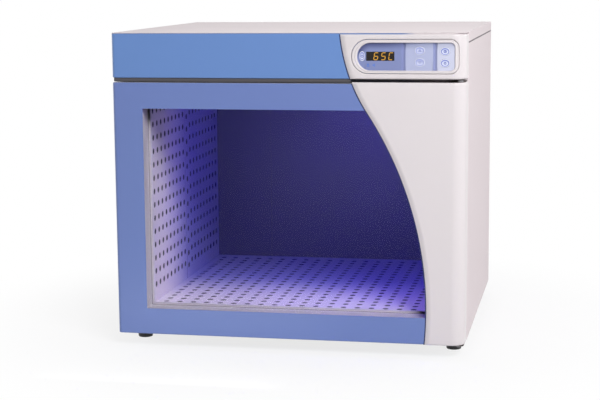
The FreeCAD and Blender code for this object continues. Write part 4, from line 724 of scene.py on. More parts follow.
@dataclass(frozen=True)
class Glowing(Finish):
    """Surface that gives off its own light.

    Attributes:
        glow: Colour of the light.
        strength: Strength of the light.
    """

    glow: Colour = (1.0, 1.0, 1.0, 1.0)
    strength: float = 1.0

    def surface(self, tree: Tree) -> Socket:
        """Lit surface with its own light added.

        Args:
            tree: Tree of the material.

        Returns:
            The shader's output.
        """
        inputs = {
            "Base Color": self.colour,
            "Roughness": self.roughness,
            "Emission Color": self.glow,
            "Emission Strength": self.strength,
        }
        return tree.add("ShaderNodeBsdfPrincipled", inputs).outputs[0]


@dataclass(frozen=True)
class ZonedPanel(Finish):
    """Lilac film whose zones grow lighter from left to right, with painted shade along its top and in its
    grooves.

    Attributes:
        zones: X of each change of zone.
        tones: Colour of each zone.
        step: Half the width of a change of zone.
        end: X and Z of the middle of the film's round end.
        radius: Radius of that end.
        reach: Width of the shade inside the edge.
        rise: Heights from that middle between which the shade grows to its full.
        strength: Strength of the shade at the round end and at the last groove.
        shade: Colour of the painted shade that stands for the bezel's shadow on the sunk film.
        groove: Colour of the painted shade in the two grooves between the zones.
        groove_edge: Distances from a groove's middle where its colour is full and gone.
        groove_shade_share: Strength of that painted shade.
    """

    zones: Pair = (0.0, 0.0)
    tones: tuple[Colour, Colour, Colour] = ((0.5, 0.5, 0.7, 1.0),) * 3
    step: float = 3.0 * MM
    end: Pair = (0.0, 0.0)
    radius: float = 28.0 * MM
    reach: float = 16.0 * MM
    rise: Pair = (-4.0 * MM, 14.0 * MM)
    strength: Pair = (0.95, 0.30)
    shade: Colour = (0.1, 0.1, 0.3, 1.0)
    groove: Colour = (0.3, 0.3, 0.5, 1.0)
    groove_edge: Pair = (3.2 * MM, 5.4 * MM)
    groove_shade_share: float = 0.80

    def base_colour(self, tree: Tree) -> Any:
        """Step from tone to tone, and paint shade into the grooves and along the upper edge.

        The shade goes by the distance inside the edge: the radius less the root of two
        squares added, of what lies left of the round end's middle and what lies above it.

        Args:
            tree: Tree of the material.

        Returns:
            The colour.
        """
        across, level = tree.axis("X"), tree.axis("Z")
        full, gone = self.groove_edge
        colour = self.tones[0]
        # Each zone's tone, with painted shade in the groove at its edge.
        for edge, tone in zip(self.zones, self.tones[1:]):
            colour = tree.mix(tree.stretch(across, edge - self.step, edge + self.step), colour, tone)
            away = tree.maths("ABSOLUTE", tree.maths("SUBTRACT", across, edge))
            colour = tree.mix(tree.stretch(away, gone, full, 0.0, self.groove_shade_share), colour, self.groove)
        # Painted shade along the upper edge, where the bezel's shadow falls on the sunk film.
        beside = tree.maths("MINIMUM", tree.maths("SUBTRACT", across, self.end[0]), 0.0)
        above = tree.maths("MAXIMUM", tree.maths("SUBTRACT", level, self.end[1]), 0.0)
        squares = [tree.maths("POWER", leg, 2.0) for leg in (beside, above)]
        inside = tree.maths("SUBTRACT", self.radius, tree.maths("SQRT", tree.maths("ADD", *squares)))
        edge = tree.stretch(inside, self.reach, 0.0)
        upper = tree.stretch(level, self.end[1] + self.rise[0], self.end[1] + self.rise[1])
        strength = tree.stretch(across, self.end[0], self.zones[1], *self.strength)
        mask = tree.maths("MULTIPLY", tree.maths("MULTIPLY", edge, upper), strength)
        return self.drifted(tree, tree.mix(mask, colour, self.shade))


@dataclass(frozen=True)
class KeyCap(Finish):
    """Moulded key with a pale rim, painted shade as a crescent in the top of its dish, and a painted
    highlight below.

    The pattern coordinates run from -1 to 1 across the key, nought at its middle, and
    the edges between colours are spans of the distance from a middle.

    Attributes:
        line: Colour of the line inside the rim.
        shade_crescent: Colour of the crescent, painted shade in the top of the dish.
        lens: Colour of the pale lens below the crescent, a painted highlight on the dish.
        drop: How far the lens's middle lies below the key's.
        highlight_edge: Edge between the lens and the crescent, from the lens's middle.
        line_edge: Edge between the crescent and the line.
        rim_edge: Edge between the line and the rim.
    """

    line: Colour = (0.2, 0.25, 0.6, 1.0)
    shade_crescent: Colour = (0.4, 0.45, 0.75, 1.0)
    lens: Colour = (0.8, 0.82, 0.92, 1.0)
    drop: float = 0.24
    highlight_edge: Pair = (0.62, 0.84)
    line_edge: Pair = (0.64, 0.72)
    rim_edge: Pair = (0.80, 0.86)

    def base_colour(self, tree: Tree) -> Any:
        """Pale rim, line inside it, painted shade as a crescent above and a painted highlight as a lens
        below.

        Args:
            tree: Tree of the material.

        Returns:
            The colour.
        """
        place = tree.add("ShaderNodeUVMap", uv_map="pattern").outputs[0]
        split = tree.add("ShaderNodeSeparateXYZ", {0: place})
        x, z = split.outputs["X"], split.outputs["Y"]
        legs = (x, z, tree.maths("ADD", z, self.drop))
        wide, tall, low = (tree.maths("POWER", leg, 2.0) for leg in legs)
        reach = tree.maths("SQRT", tree.maths("ADD", wide, tall))
        sunk = tree.maths("SQRT", tree.maths("ADD", wide, low))
        # Painted highlight low in the dish, painted shade in its top.
        colour = tree.mix(tree.stretch(sunk, *self.highlight_edge), self.lens, self.shade_crescent)
        colour = tree.mix(tree.stretch(reach, *self.line_edge), colour, self.line)
        return tree.mix(tree.stretch(reach, *self.rim_edge), colour, self.colour)


@dataclass(frozen=True)
class JointedSheet(Finish):
    """Painted sheet with one straight joint, where painted shade and dust make a thin dark line.

    Attributes:
        axis: Axis that the joint lies square to.
        joint: Place of the joint on that axis.
        half: Half the width of the line.
        core: Share of that half over which the line is at its darkest.
        depth: Strength of the line.
        shade_and_dust: Colour of the line, painted shade of the joint's gap with dust.
    """

    axis: str = "X"
    joint: float = 0.0
    half: float = 1.4 * MM
    core: float = 0.4
    depth: float = 0.45
    shade_and_dust: Colour = paint(60, 54, 62)

    def base_colour(self, tree: Tree) -> Any:
        """Drifting colour with the darker line of painted shade and dust at the joint.

        Args:
            tree: Tree of the material.

        Returns:
            The colour.
        """
        away = tree.maths("ABSOLUTE", tree.maths("SUBTRACT", tree.axis(self.axis), self.joint))
        line = tree.stretch(away, self.half, self.core * self.half, 0.0, self.depth)
        return tree.mix(line, self.drifted(tree, self.colour), self.shade_and_dust)


@dataclass(frozen=True)
class PartPainted(Finish):
    """Enamel that turns to another colour along one axis.

    Attributes:
        beyond: Colour that it turns to.
        axis: Axis along which it turns.
        span: Where it starts to turn and where it has turned.
    """

    beyond: Colour = (0.7, 0.7, 0.7, 1.0)
    axis: str = "X"
    span: Pair = (0.0, 1.0)

    def base_colour(self, tree: Tree) -> Any:
        """Blend from the enamel to the other colour."""
        mask = tree.stretch(tree.axis(self.axis), *self.span)
        return self.drifted(tree, tree.mix(mask, self.colour, self.beyond))


class Palette:
    """Every finish of the cabinet, under a maker's plain name."""

    # The line at the top cover's joint is painted shade of its gap, with dust.
    casing = JointedSheet(
        "casing_powder_coat", paint(224, 213, 216), roughness=0.58, drift=0.012, grain_scale=700.0,
        grain_depth=0.00003, worn=paint(238, 234, 236), wear=0.5, dust=0.10, gloss=0.12,
        axis="Z", half=2.2 * MM, depth=0.85,
    )
    head_blue = PartPainted(
        "head_blue_enamel", paint(102, 138, 198), roughness=0.38, drift=0.02, drift_scale=2.5,
        grain_scale=700.0, grain_depth=0.000025, worn=paint(140, 166, 214), wear=0.5,
        beyond=paint(226, 217, 220), span=(242.0 * MM, 282.0 * MM),
    )
    # Door blue: a darker, more violet copy of the head's blue, as painted shade and a painted violet cast;
    # its top face turns pale grey, painted light in the shaded gap under the head.
    door_blue = PartPainted(
        "door_blue_enamel", paint(107, 127, 186), roughness=0.38, drift=0.02, drift_scale=2.5,
        grain_scale=700.0, grain_depth=0.000025, worn=paint(146, 162, 208), wear=0.5,
        beyond=paint(214, 212, 214), axis="Z", span=(582.4 * MM, 582.7 * MM),
    )
    cover = Finish(
        "moulded_white", paint(221, 214, 216), roughness=0.36, drift=0.010, grain_scale=1400.0,
        grain_depth=0.000012, worn=paint(240, 238, 240), wear=0.3, coat=0.08,
    )
    # Film tones; shade is painted shade along the top edge, and groove is painted shade in the grooves.
    panel = ZonedPanel(
        "panel_lilac", paint(170, 176, 214), roughness=0.45, drift=0.015, grain_scale=1600.0,
        grain_depth=0.00001, shade=paint(58, 64, 112), groove=paint(120, 128, 178),
        tones=(paint(126, 136, 182), paint(176, 182, 214), paint(203, 206, 228)),
    )
    # Key: the crescent is painted shade and the lens a painted highlight of the dish.
    key = KeyCap(
        "key_rim", paint(226, 229, 246), roughness=0.35, drift=0.01, grain_scale=1600.0,
        grain_depth=0.00001, line=paint(100, 114, 198), shade_crescent=paint(160, 170, 222),
        lens=paint(214, 219, 240),
    )
    symbol = Finish("key_symbol", paint(74, 90, 178), roughness=0.4, grain_depth=0.000005)
    print_blue = Finish("printed_blue", paint(74, 118, 204), roughness=0.5, grain_depth=0.000005)
    display = Finish(
        "display_window", paint(22, 19, 19), roughness=0.2, drift=0.05, grain_depth=0.000002, gloss=0.3
    )
    digits = Glowing(
        "display_amber", paint(110, 72, 14), glow=paint(206, 152, 44), strength=0.90, roughness=0.4
    )
    digits_off = Finish("display_unlit", paint(38, 31, 24), roughness=0.4, grain_depth=0.000002, gloss=0.2)
    board = Finish("board_green", paint(34, 92, 58), roughness=0.4, drift=0.1, drift_scale=40.0, coat=0.3)
    glass = Glass("clear_glass", paint(250, 251, 252))
    tape = Finish("bonding_tape", paint(34, 34, 36), roughness=0.8, grain_scale=1500.0)
    # Dark strip beside the covers' curved edge: painted shadow of the cover's edge on the blue skin.
    shadow_strip = Finish("cover_edge_tape", paint(44, 54, 92), roughness=0.8, grain_scale=1500.0)
    # Light grey silicone whose paleness is also painted light, lifting the shade of the recess round the
    # opening.
    gasket = Finish("gasket_rubber", paint(206, 200, 206), roughness=0.6, drift=0.05, sheen=0.1)
    # Grey of the strip in the gap under the fascia: painted shade of the gap.
    strip = Finish("gap_shade_grey", paint(72, 69, 74), roughness=0.6, drift=0.05, grain_scale=1500.0)
    # Past its flange line the liner turns paler: painted light that lifts the shade on the flange behind the
    # inner glass.
    liner = PartPainted(
        "liner_grey", paint(166, 160, 165), roughness=0.4, drift=0.015, wear=0.3,
        worn=paint(214, 210, 214), beyond=paint(238, 232, 238), axis="Y",
        span=(-302.4 * MM, -301.8 * MM),
    )
    pull = Finish("pull_moulding", paint(96, 98, 106), roughness=0.5, grain_scale=1200.0)
    # Chamber walls and floor darken to blue-violet towards the rear: painted shade and painted violet lamp
    # light.
    enamel = PartPainted(
        "chamber_enamel", paint(214, 203, 208), roughness=0.40, drift=0.02, grain_scale=500.0,
        beyond=paint(114, 112, 172), axis="Y", span=(-230.0 * MM, 60.0 * MM),
    )
    # Dark blue-violet back wall: painted shade and painted light of the violet chamber lamp.
    back_wall = JointedSheet(
        "chamber_back_enamel", paint(46, 42, 92), roughness=0.45, drift=0.02, grain_scale=500.0,
        joint=-175.0 * MM, depth=0.3,
    )
    ceiling = Finish("ceiling_enamel", paint(150, 146, 160), roughness=0.45, drift=0.02, grain_scale=500.0)
    # Near black behind the holes in the walls: painted shade, a dark sheet where the holes show only shade.
    duct_shade = Finish("duct_steel", paint(26, 25, 30), roughness=0.5, drift=0.08, grain_scale=300.0)
    lamp_channel = BrushedMetal("lamp_channel", paint(206, 206, 212), roughness=0.3)
    lamp_lens = Glowing(
        "lamp_lens", paint(216, 212, 240), glow=paint(120, 96, 255), strength=2.5, roughness=0.5
    )
    plated = BrushedMetal("zinc_plated", paint(196, 196, 198), roughness=0.34, wear=0.2)
    # Hinge bracket darkened as painted shade of the gap it sits in.
    bracket = BrushedMetal("bracket_steel", paint(84, 78, 76), roughness=0.55, wear=0.2)
    wheel = BrushedMetal("wheel_steel", paint(188, 190, 194), roughness=0.3, across=(900.0, 900.0, 60.0))
    screw = BrushedMetal("screw_steel", paint(186, 186, 190), roughness=0.28, across=(900.0, 40.0, 900.0))
    sheath = BrushedMetal("heater_sheath", paint(116, 108, 104), roughness=0.45, drift=0.12, drift_scale=18.0)
    motor = Finish("motor_black", paint(42, 42, 46), roughness=0.5, wear=0.4, worn=paint(120, 120, 124))
    sink = BrushedMetal("sink_aluminium", paint(190, 192, 196), roughness=0.38, across=(2500.0, 30.0, 2500.0))
    module = Finish("module_black", paint(38, 38, 40), roughness=0.42, grain_scale=1400.0)
    magnet = Finish("magnet_case", paint(52, 50, 52), roughness=0.55)
    # Bush bronze darkened as painted shade of the gap it sits in.
    bronze = BrushedMetal("bush_bronze", paint(132, 104, 68), roughness=0.35, across=(60.0, 60.0, 2500.0))
    rubber = Finish(
        "foot_rubber", paint(30, 30, 32), roughness=0.62, drift=0.08, grain_scale=1600.0, sheen=0.2
    )
    wool = Finish(
        "mineral_wool", paint(196, 176, 112), roughness=0.95, drift=0.25, drift_scale=30.0,
        grain_scale=260.0, grain_depth=0.0012, sheen=0.3,
    )


# ---------- places in the frame
@dataclass(frozen=True)
class FrontWrap:
    """Outline that the head and the door share in plan: a flat front, one round corner
    at the right, and the side behind it.

    Attributes:
        corner_x: X of the corner's centre.
        corner_y: Y of the corner's centre.
        radius: Radius of the blue skin round that corner.
    """

    corner_x: float
    corner_y: float
    radius: float

    @property
    def turn(self) -> float:
        """Length of the skin round the corner."""
        return self.radius * math.pi / 2

    def along_of_y(self, y: float) -> float:
        """Length along the outline at a depth on the side."""
        return self.corner_x + self.turn + y - self.corner_y

    def along_of_x(self, x: Array, out: float) -> Array:
        """Length along the outline at an X, for a surface that stands out by a distance."""
        share = np.clip((x - self.corner_x) / (self.radius + out), 0.0, 1.0)
        return np.where(x > self.corner_x, self.corner_x + self.radius * np.arcsin(share), x)

    def place(self, along: Array, z: Array, out: Array) -> Array:
        """Points of a surface that stands out from the skin.

        The angle round the corner is the length past the corner's start over the
        radius. X is the smaller of length and corner, plus radius and stand-out times
        the angle's sine. Y is the corner less the same times its cosine, plus what
        length is left behind the corner.

        Args:
            along: Length along the outline from the middle of the front.
            z: Height.
            out: Distance that the surface stands out from the skin.

        Returns:
            Points, in a last axis of three.
        """
        angle = np.clip((along - self.corner_x) / self.radius, 0.0, math.pi / 2)
        behind = np.maximum(along - self.corner_x - self.turn, 0.0)
        x = np.minimum(along, self.corner_x) + (self.radius + out) * np.sin(angle)
        y = self.corner_y - (self.radius + out) * np.cos(angle) + behind
        return points_at(x, y, z)


@dataclass(frozen=True)
class SweepCurve:
    """The S-curve down the front: two arcs that meet in a tangent.

    Attributes:
        low_x: X of the curve where its lower arc is upright.
        low_z: Height of that place, and of the lower arc's centre.
        high_x: X of the curve where its upper arc is upright.
        high_z: Height of that place, and of the upper arc's centre.
        high_radius: Radius of the upper arc.
    """

    low_x: float
    low_z: float
    high_x: float
    high_z: float
    high_radius: float

    @property
    def low_radius(self) -> float:
        """Radius of the lower arc, which makes the two arcs meet in a tangent.

        The distance between the centres is then the sum of the radii, and it is solved
        for the lower one.

        Returns:
            The radius.
        """
        rise = self.high_z - self.low_z
        reach = self.high_x + self.high_radius - self.low_x
        return (reach**2 + rise**2 - self.high_radius**2) / (2 * (self.high_radius - reach))

    def x(self, z: Array, shift: float | Array = 0.0) -> Array:
        """X of the curve at a height, moved to the right by a parallel shift.

        Above the join it is the upper centre less the root of the shrunk radius
        squared less the height squared; below it, the lower centre plus the like root.

        Args:
            z: Heights.
            shift: Distance of the parallel curve to the right.

        Returns:
            X at each height.
        """
        share = (self.low_radius + shift) / (self.low_radius + self.high_radius)
        join = self.low_z + (self.high_z - self.low_z) * share
        high = (self.high_radius - shift) ** 2 - (z - self.high_z) ** 2
        low = (self.low_radius + shift) ** 2 - (z - self.low_z) ** 2
        upper = self.high_x + self.high_radius - np.sqrt(np.maximum(high, 0.0))
        lower = self.low_x - self.low_radius + np.sqrt(np.maximum(low, 0.0))
        return np.where(z > join, upper, lower)

    def distance(self, x: Array, z: Array) -> Array:
        """Distance of points from the curve, to its right, square to it.

        Above the line between the centres it is the upper radius less the distance from
        the upper centre; below it, the distance from the lower centre less its radius.

        Args:
            x: X of the points.
            z: Heights of the points.

        Returns:
            The distance at each point.
        """
        low_c = self.low_x - self.low_radius
        high_c = self.high_x + self.high_radius
        slope = (self.high_z - self.low_z) / (high_c - low_c)
        upper = self.high_radius - np.hypot(x - high_c, z - self.high_z)
        lower = np.hypot(x - low_c, z - self.low_z) - self.low_radius
        return np.where(z > self.low_z + (x - low_c) * slope, upper, lower)


@dataclass(frozen=True)
class RoundedPanel:
    """Outline with one round end at the left and two rounded corners at the right.

    Attributes:
        left: X of the round end's tip.
        right: X of the right side.
        low: Height of the lower side.
        high: Height of the upper side.
        corner: Radius of the right-hand corners.
    """

    left: float
    right: float
    low: float
    high: float
    corner: float

    # Counts of points: on the top and on the bottom, a corner, the right side, the round end.
    TOP = 44
    CORNER = 10
    SIDE = 10
    END = 45

    def grown(self, by: float) -> "RoundedPanel":
        """The same outline, larger all round."""
        sides = (self.left - by, self.right + by, self.low - by, self.high + by)
        return RoundedPanel(*sides, self.corner + by)

    @property
    def radius(self) -> float:
        """Radius of the round end."""
        return (self.high - self.low) / 2

    @property
    def end_x(self) -> float:
        """X of the round end's centre."""
        return self.left + self.radius

    @property
    def middle_z(self) -> float:
        """Height of the round end's centre."""
        return (self.low + self.high) / 2

    def points(self) -> Array:
        """Points clockwise round the outline, from the left end of its top side.

        Straight sides are evenly spaced, and round ones are their centre plus the
        radius along the cosine and sine of an evenly spaced angle.

        Returns:
            X and Z of each point; every outline of this class has as many.
        """
        top_x = np.linspace(self.end_x, self.right - self.corner, self.TOP, endpoint=False)
        turn = np.linspace(np.pi / 2, 0, self.CORNER, endpoint=False)
        side = np.linspace(self.high - self.corner, self.low + self.corner, self.SIDE, endpoint=False)
        end = np.linspace(-np.pi / 2, -3 * np.pi / 2, self.END, endpoint=False)
        inner_x = self.right - self.corner
        runs = [
            (top_x, np.full(self.TOP, self.high)),
            (inner_x + self.corner * np.cos(turn), self.high - self.corner + self.corner * np.sin(turn)),
            (np.full(self.SIDE, self.right), side),
            (
                inner_x + self.corner * np.cos(turn - np.pi / 2),
                self.low + self.corner + self.corner * np.sin(turn - np.pi / 2),
            ),
            (inner_x + self.end_x - top_x, np.full(self.TOP, self.low)),
            (self.end_x + self.radius * np.cos(end), self.middle_z + self.radius * np.sin(end)),
        ]
        return np.concatenate([np.stack(run, axis=-1) for run in runs])


@dataclass(frozen=True)
class Places:
    """Places of the frame that more than one sub-assembly needs.

    Attributes:
        half: X of the cabinet's right side.
        skin_y: Depth of the blue skin's front.
        cover_y: Depth of the white covers' front.
        door_back_y: Depth of the door cover's rear edge.
        head_low: Height of the head's lower edge.
        cover_high: Height of the control cover's upper edge.
        door_low: Height of the door's lower edge.
        door_high: Height of the door's upper edge.
        wrap: Outline of the head and the door in plan.
        sweep: The S-curve.
    """

    half: float
    skin_y: float
    cover_y: float
    door_back_y: float
    head_low: float
    cover_high: float
    door_low: float
    door_high: float
    wrap: FrontWrap
    sweep: SweepCurve

    # Outer radius of the round corner, and the radius of the curve's upper arc.
    CORNER = 28.0 * MM
    UPPER_ARC = 367.8 * MM
    # Where each arc is upright: inwards from the right side, and above the door's lower
    # edge or above the fascia's upper one.
    LOWER_UPRIGHT = (80.5 * MM, 71.0 * MM)
    UPPER_UPRIGHT = (264.0 * MM, 32.2 * MM)

    @classmethod
    def read(cls) -> "Places":
        """Read the places from the frame's boxes.

        Returns:
            The places.
        """
        skin_low, skin_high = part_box("door_skin")
        cover_low, cover_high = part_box("door_cover")
        head_low, head_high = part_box("control_cover")
        fascia_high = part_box("head_fascia")[1]
        thick = cover_high.x - skin_high.x
        return cls(
            half=cover_high.x,
            skin_y=skin_low.y,
            cover_y=cover_low.y,
            door_back_y=cover_high.y,
            head_low=head_low.z,
            cover_high=head_high.z,
            door_low=skin_low.z,
            door_high=skin_high.z,
            wrap=FrontWrap(cover_high.x - cls.CORNER, cover_low.y + cls.CORNER, cls.CORNER - thick),
            sweep=SweepCurve(
                low_x=cover_high.x - cls.LOWER_UPRIGHT[0],
                low_z=skin_low.z + cls.LOWER_UPRIGHT[1],
                high_x=cover_high.x - cls.UPPER_UPRIGHT[0],
                high_z=fascia_high.z + cls.UPPER_UPRIGHT[1],
                high_radius=cls.UPPER_ARC,
            ),
        )


# ---------- moulded covers
@dataclass
class MouldedCovers:
    """White covers to the right of the S-curve, one on the door and one on the head.

    Attributes:
        places: Places of the frame.
        bezel: Outline of the bezel.
        hole_gap: Gap between the bezel and the edge of its hole.
        roll: How far the sloped edge along the curve reaches in.
        rim: Radius of the upper and lower edges.
        lip: Thickness that is left at an edge.
        hole_rim: Radius of the edge round the hole.
        seat: Distance of the covers' backs from the skin.
        lift: How far the door's cover stands above its skin.
        tape: Width of the dark strip beside the curve, a painted shadow of the cover's edge.
        shadow_strip_tuck: Width of the strip that is drawn under the cover.
        shadow_strip_rise: Thickness of the strip.
    """

    places: Places
    bezel: RoundedPanel
    hole_gap: float = 0.9 * MM
    roll: float = 11.0 * MM
    rim: float = 3.5 * MM
    lip: float = 0.6 * MM
    hole_rim: float = 1.0 * MM
    seat: float = 0.05 * MM
    lift: float = 3.2 * MM
    tape: float = 2.5 * MM
    shadow_strip_tuck: float = 0.3 * MM
    shadow_strip_rise: float = 0.3 * MM

    # Counts of grid lines: up a cover and over one rim, over the roll, from there to the
    # round corner, round it, back along the side, and from the hole to the outer edge.
    ROWS = 60
    TURN = 7
    ROLL = 12
    FRONT = 16
    CORNER = 14
    SIDE = 4
    OUTWARDS = 18
    # Shares of the hole's rim at which the first rings round the hole lie.
    HOLE_RINGS = (0.0, 0.12, 0.35, 0.7, 1.0)

    @property
    def thick(self) -> float:
        """Full thickness of a cover."""
        return self.places.skin_y - self.places.cover_y

    @property
    def side_end(self) -> float:
        """Length along the front outline at which a cover ends on the side."""
        return self.places.wrap.along_of_y(self.places.door_back_y)

    @property
    def hole(self) -> RoundedPanel:
        """Outline of the hole for the bezel."""
        return self.bezel.grown(self.hole_gap)

    def height(self, x: Array, z: Array, low: float, high: float) -> Array:
        """Stand-out of a cover from the skin.

        It is the lip plus the rest of the thickness times three shares: the slope along
        the curve, and the quarter ellipses of the lower and the upper edge.

        Args:
            x: Length along the front outline.
            z: Height.
            low: Height of the lower edge.
            high: Height of the upper edge.

        Returns:
            Stand-out at each point.
        """
        rise = sloped_edge(self.places.sweep.distance(x, z), self.roll)
        rise = rise * rounded_edge(z - low, self.rim) * rounded_edge(high - z, self.rim)
        return self.lip + (self.thick - self.lip) * rise

    def door(self) -> None:
        """Door cover: rows are heights, columns run from the curve round to the side.

        In a rim the heights are its radius times one less the cosine of even angles.
        """
        p = self.places
        low, high = p.door_low, p.door_high + self.lift
        rim = self.rim * (1 - np.cos(np.linspace(0, np.pi / 2, self.TURN)))
        middle = np.linspace(low + self.rim, high - self.rim, self.ROWS)
        z = np.concatenate([low + rim[:-1], middle, high - rim[-2::-1]])[:, None]
        roll = self.roll * np.sin(np.linspace(0, np.pi / 2, self.ROLL))
        edge = np.concatenate([p.sweep.x(z, shift) for shift in roll], axis=1)
        share = np.linspace(0, 1, self.FRONT + 1)[1:]
        front = edge[:, -1:] + share * (p.wrap.corner_x - edge[:, -1:])
        turned = p.wrap.corner_x + p.wrap.turn
        corner = np.linspace(p.wrap.corner_x, turned, self.CORNER + 1)[1:]
        side = np.linspace(turned, self.side_end, self.SIDE + 1)[1:]
        rest = np.tile(np.concatenate([corner, side]), (len(z), 1))
        along = np.concatenate([edge, front, rest], axis=1)
        outer = p.wrap.place(along, z, self.height(along, z, low, high))
        cover = slab(outer, p.wrap.place(along, z, self.seat))
        make_piece("door_cover_moulding", *cover, Palette.cover, "door", "cover_white", ["door_cover"])

    def head(self) -> None:
        """Head cover: a band of quads between the bezel's hole and the cover's edge.

        Each point of the hole's outline has a mate on the outer one. Rows go from the
        one to the other, close together at the hole and at the outer edge.
        """
        p = self.places
        hole = self.hole.points()
        hole[:, 0] = p.wrap.along_of_x(hole[:, 0], self.thick)
        outer = self.outer_mates()
        width = np.linalg.norm(outer - hole, axis=1)
        near = np.array(self.HOLE_RINGS)[:, None] * self.hole_rim / width
        far = np.sin(np.linspace(0, np.pi / 2, self.OUTWARDS + 1))[1:, None]
        share = np.concatenate([near, near[-1] + (1 - near[-1]) * far])[..., None]
        flat = hole + share * (outer - hole)
        along, z = flat[..., 0], flat[..., 1]
        rise = self.height(along, z, p.head_low, p.cover_high)
        from_hole = np.linalg.norm(flat - hole, axis=-1)
        rise = self.lip + (rise - self.lip) * rounded_edge(from_hole, self.hole_rim)
        face, back = (p.wrap.place(along, z, out) for out in (rise, self.seat))
        cover = tube_of_rings(np.concatenate([face, back[::-1]]))
        make_piece(
            "control_cover_moulding", *cover, Palette.cover, "cabinet", "cover_white", ["control_cover"]
        )

    def outer_mates(self) -> Array:
        """Points of the cover's outer edge that go with the points of the hole.

        Returns:
            Length along the front outline, and height, of each point.
        """
        p, h = self.places, self.hole
        low, high, end = p.head_low, p.cover_high, self.side_end
        top_x = np.linspace(h.end_x, h.right - h.corner, h.TOP, endpoint=False)
        over = np.linspace(h.right - h.corner, end, h.CORNER, endpoint=False)
        down = np.linspace(high, low, h.SIDE, endpoint=False)
        under = np.linspace(end, h.right - h.corner, h.CORNER, endpoint=False)
        third = h.END // 3
        rise = np.linspace(low, high, h.END - 2 * third, endpoint=False)
        to_curve = np.linspace(h.end_x, float(p.sweep.x(np.array(low))), third, endpoint=False)
        from_curve = np.linspace(float(p.sweep.x(np.array(high))), h.end_x, third, endpoint=False)
        runs = [
            (top_x, np.full(h.TOP, high)),
            (over, np.full(h.CORNER, high)),
            (np.full(h.SIDE, end), down),
            (under, np.full(h.CORNER, low)),
            (h.right - h.corner + h.end_x - top_x, np.full(h.TOP, low)),
            (to_curve, np.full(third, low)),
            (p.sweep.x(rise), rise),
            (from_curve, np.full(third, high)),
        ]
        return np.concatenate([np.stack(run, axis=-1) for run in runs])

    def shadow_strip(self, name: str, body: str, low: float, high: float) -> None:
        """Dark strip that shows as a thin line along the curve: a painted shadow of the cover's edge.

        Args:
            name: Name of the piece.
            body: Body that it rides on.
            low: Height of its lower end.
            high: Height of its upper end.
        """
        z = np.linspace(low, high, self.ROWS)[:, None]
        shifts = (-self.tape, -self.tape / 2, self.shadow_strip_tuck)
        along = np.concatenate([self.places.sweep.x(z, shift) for shift in shifts], axis=1)
        outer, inner = (self.places.wrap.place(along, z, out) for out in (self.shadow_strip_rise, self.seat))
        make_piece(name, *slab(outer, inner), Palette.shadow_strip, body, "tape_black")

    def build(self) -> None:
        """Build both covers and the strip of painted shadow beside their edges."""
        p = self.places
        self.door()
        self.head()
        self.shadow_strip("door_cover_shadow_strip", "door", p.door_low, p.door_high)
        self.shadow_strip("control_cover_shadow_strip", "cabinet", p.head_low, p.cover_high)


# ---------- control panel
class Segment(Enum):
    """One bar of a seven-bar figure: where it starts and ends, counted from the figure's
    middle in half widths and in quarters of the height."""

    TOP = ((-1, 2), (1, 2))
    UPPER_RIGHT = ((1, 2), (1, 0))
    LOWER_RIGHT = ((1, 0), (1, -2))
    BOTTOM = ((-1, -2), (1, -2))
    LOWER_LEFT = ((-1, 0), (-1, -2))
    UPPER_LEFT = ((-1, 2), (-1, 0))
    MIDDLE = ((-1, 0), (1, 0))


# Bars that 6, 5 and C share, and the lit bars of the four places: nothing, 6, 5 and C.
SHARED = {Segment.TOP, Segment.UPPER_LEFT, Segment.BOTTOM}
FIGURES = (
    set(),
    SHARED | {Segment.LOWER_LEFT, Segment.LOWER_RIGHT, Segment.MIDDLE},
    SHARED | {Segment.LOWER_RIGHT, Segment.MIDDLE},
    SHARED | {Segment.LOWER_LEFT},
)


def stroke(path: Array, width: float, y: float, depth: float, closed: bool) -> Surface:
    """Flat line of even width on an upright face.

    At each point the two sides lie half a width away along the mean of the two
    neighbouring runs' normals, lengthened so that the runs keep their width.

    Args:
        path: X and Z of each point.
        width: Width of the line.
        y: Depth of the line's front.
        depth: How thick the line is.
        closed: Whether the last point joins the first.

    Returns:
        The points and the faces.
    """
    runs = np.roll(path, -1, axis=0) - path
    normals = np.stack([-runs[:, 1], runs[:, 0]], axis=-1) / np.linalg.norm(runs, axis=1, keepdims=True)
    before = np.roll(normals, 1, axis=0)
    if not closed:
        before[0] = normals[0]
        normals[-1] = before[-1]
    mitre = (normals + before) / (1 + np.sum(normals * before, axis=1, keepdims=True))
    sides = np.stack([path + mitre * width / 2, path - mitre * width / 2], axis=1)
    corners = np.concatenate([sides, sides[:, ::-1]], axis=1)
    rings = points_at(corners[..., 0], [y, y, y + depth, y + depth], corners[..., 1])
    if closed:
        return tube_of_rings(rings)
    last = 4 * (len(path) - 1)
    ends = np.array([[0, 1, 2, 3], [last, last + 1, last + 2, last + 3]])
    return rings.reshape(-1, 3), np.concatenate([grid_quads(len(path), 4, wrap=True), ends])


@dataclass(frozen=True)
class Key:
    """One oval key.

    Attributes:
        name: Node and body of the key.
        symbol: Lines on the key as points in millimetres from its middle, each with
            whether it closes on itself.
    """

    name: str
    symbol: tuple[tuple[tuple[Pair, ...], bool], ...]


def ring_mark(radius: float, start: float = 0.0, end: float = 360.0, count: int = 25) -> tuple:
    """Arc about a key's middle, for its symbol; a whole turn closes on itself.

    Args:
        radius: Radius, in millimetres.
        start: Angle of the first point, in degrees.
        end: Angle of the last point.
        count: Count of points.

    Returns:
        The points, and whether the last joins the first.
    """
    whole = end - start >= 360.0
    angle = np.radians(np.linspace(start, end, count))
    points = radius * np.stack([np.cos(angle), np.sin(angle)], axis=-1)
    return tuple(map(tuple, points[: -1 if whole else None].tolist())), whole


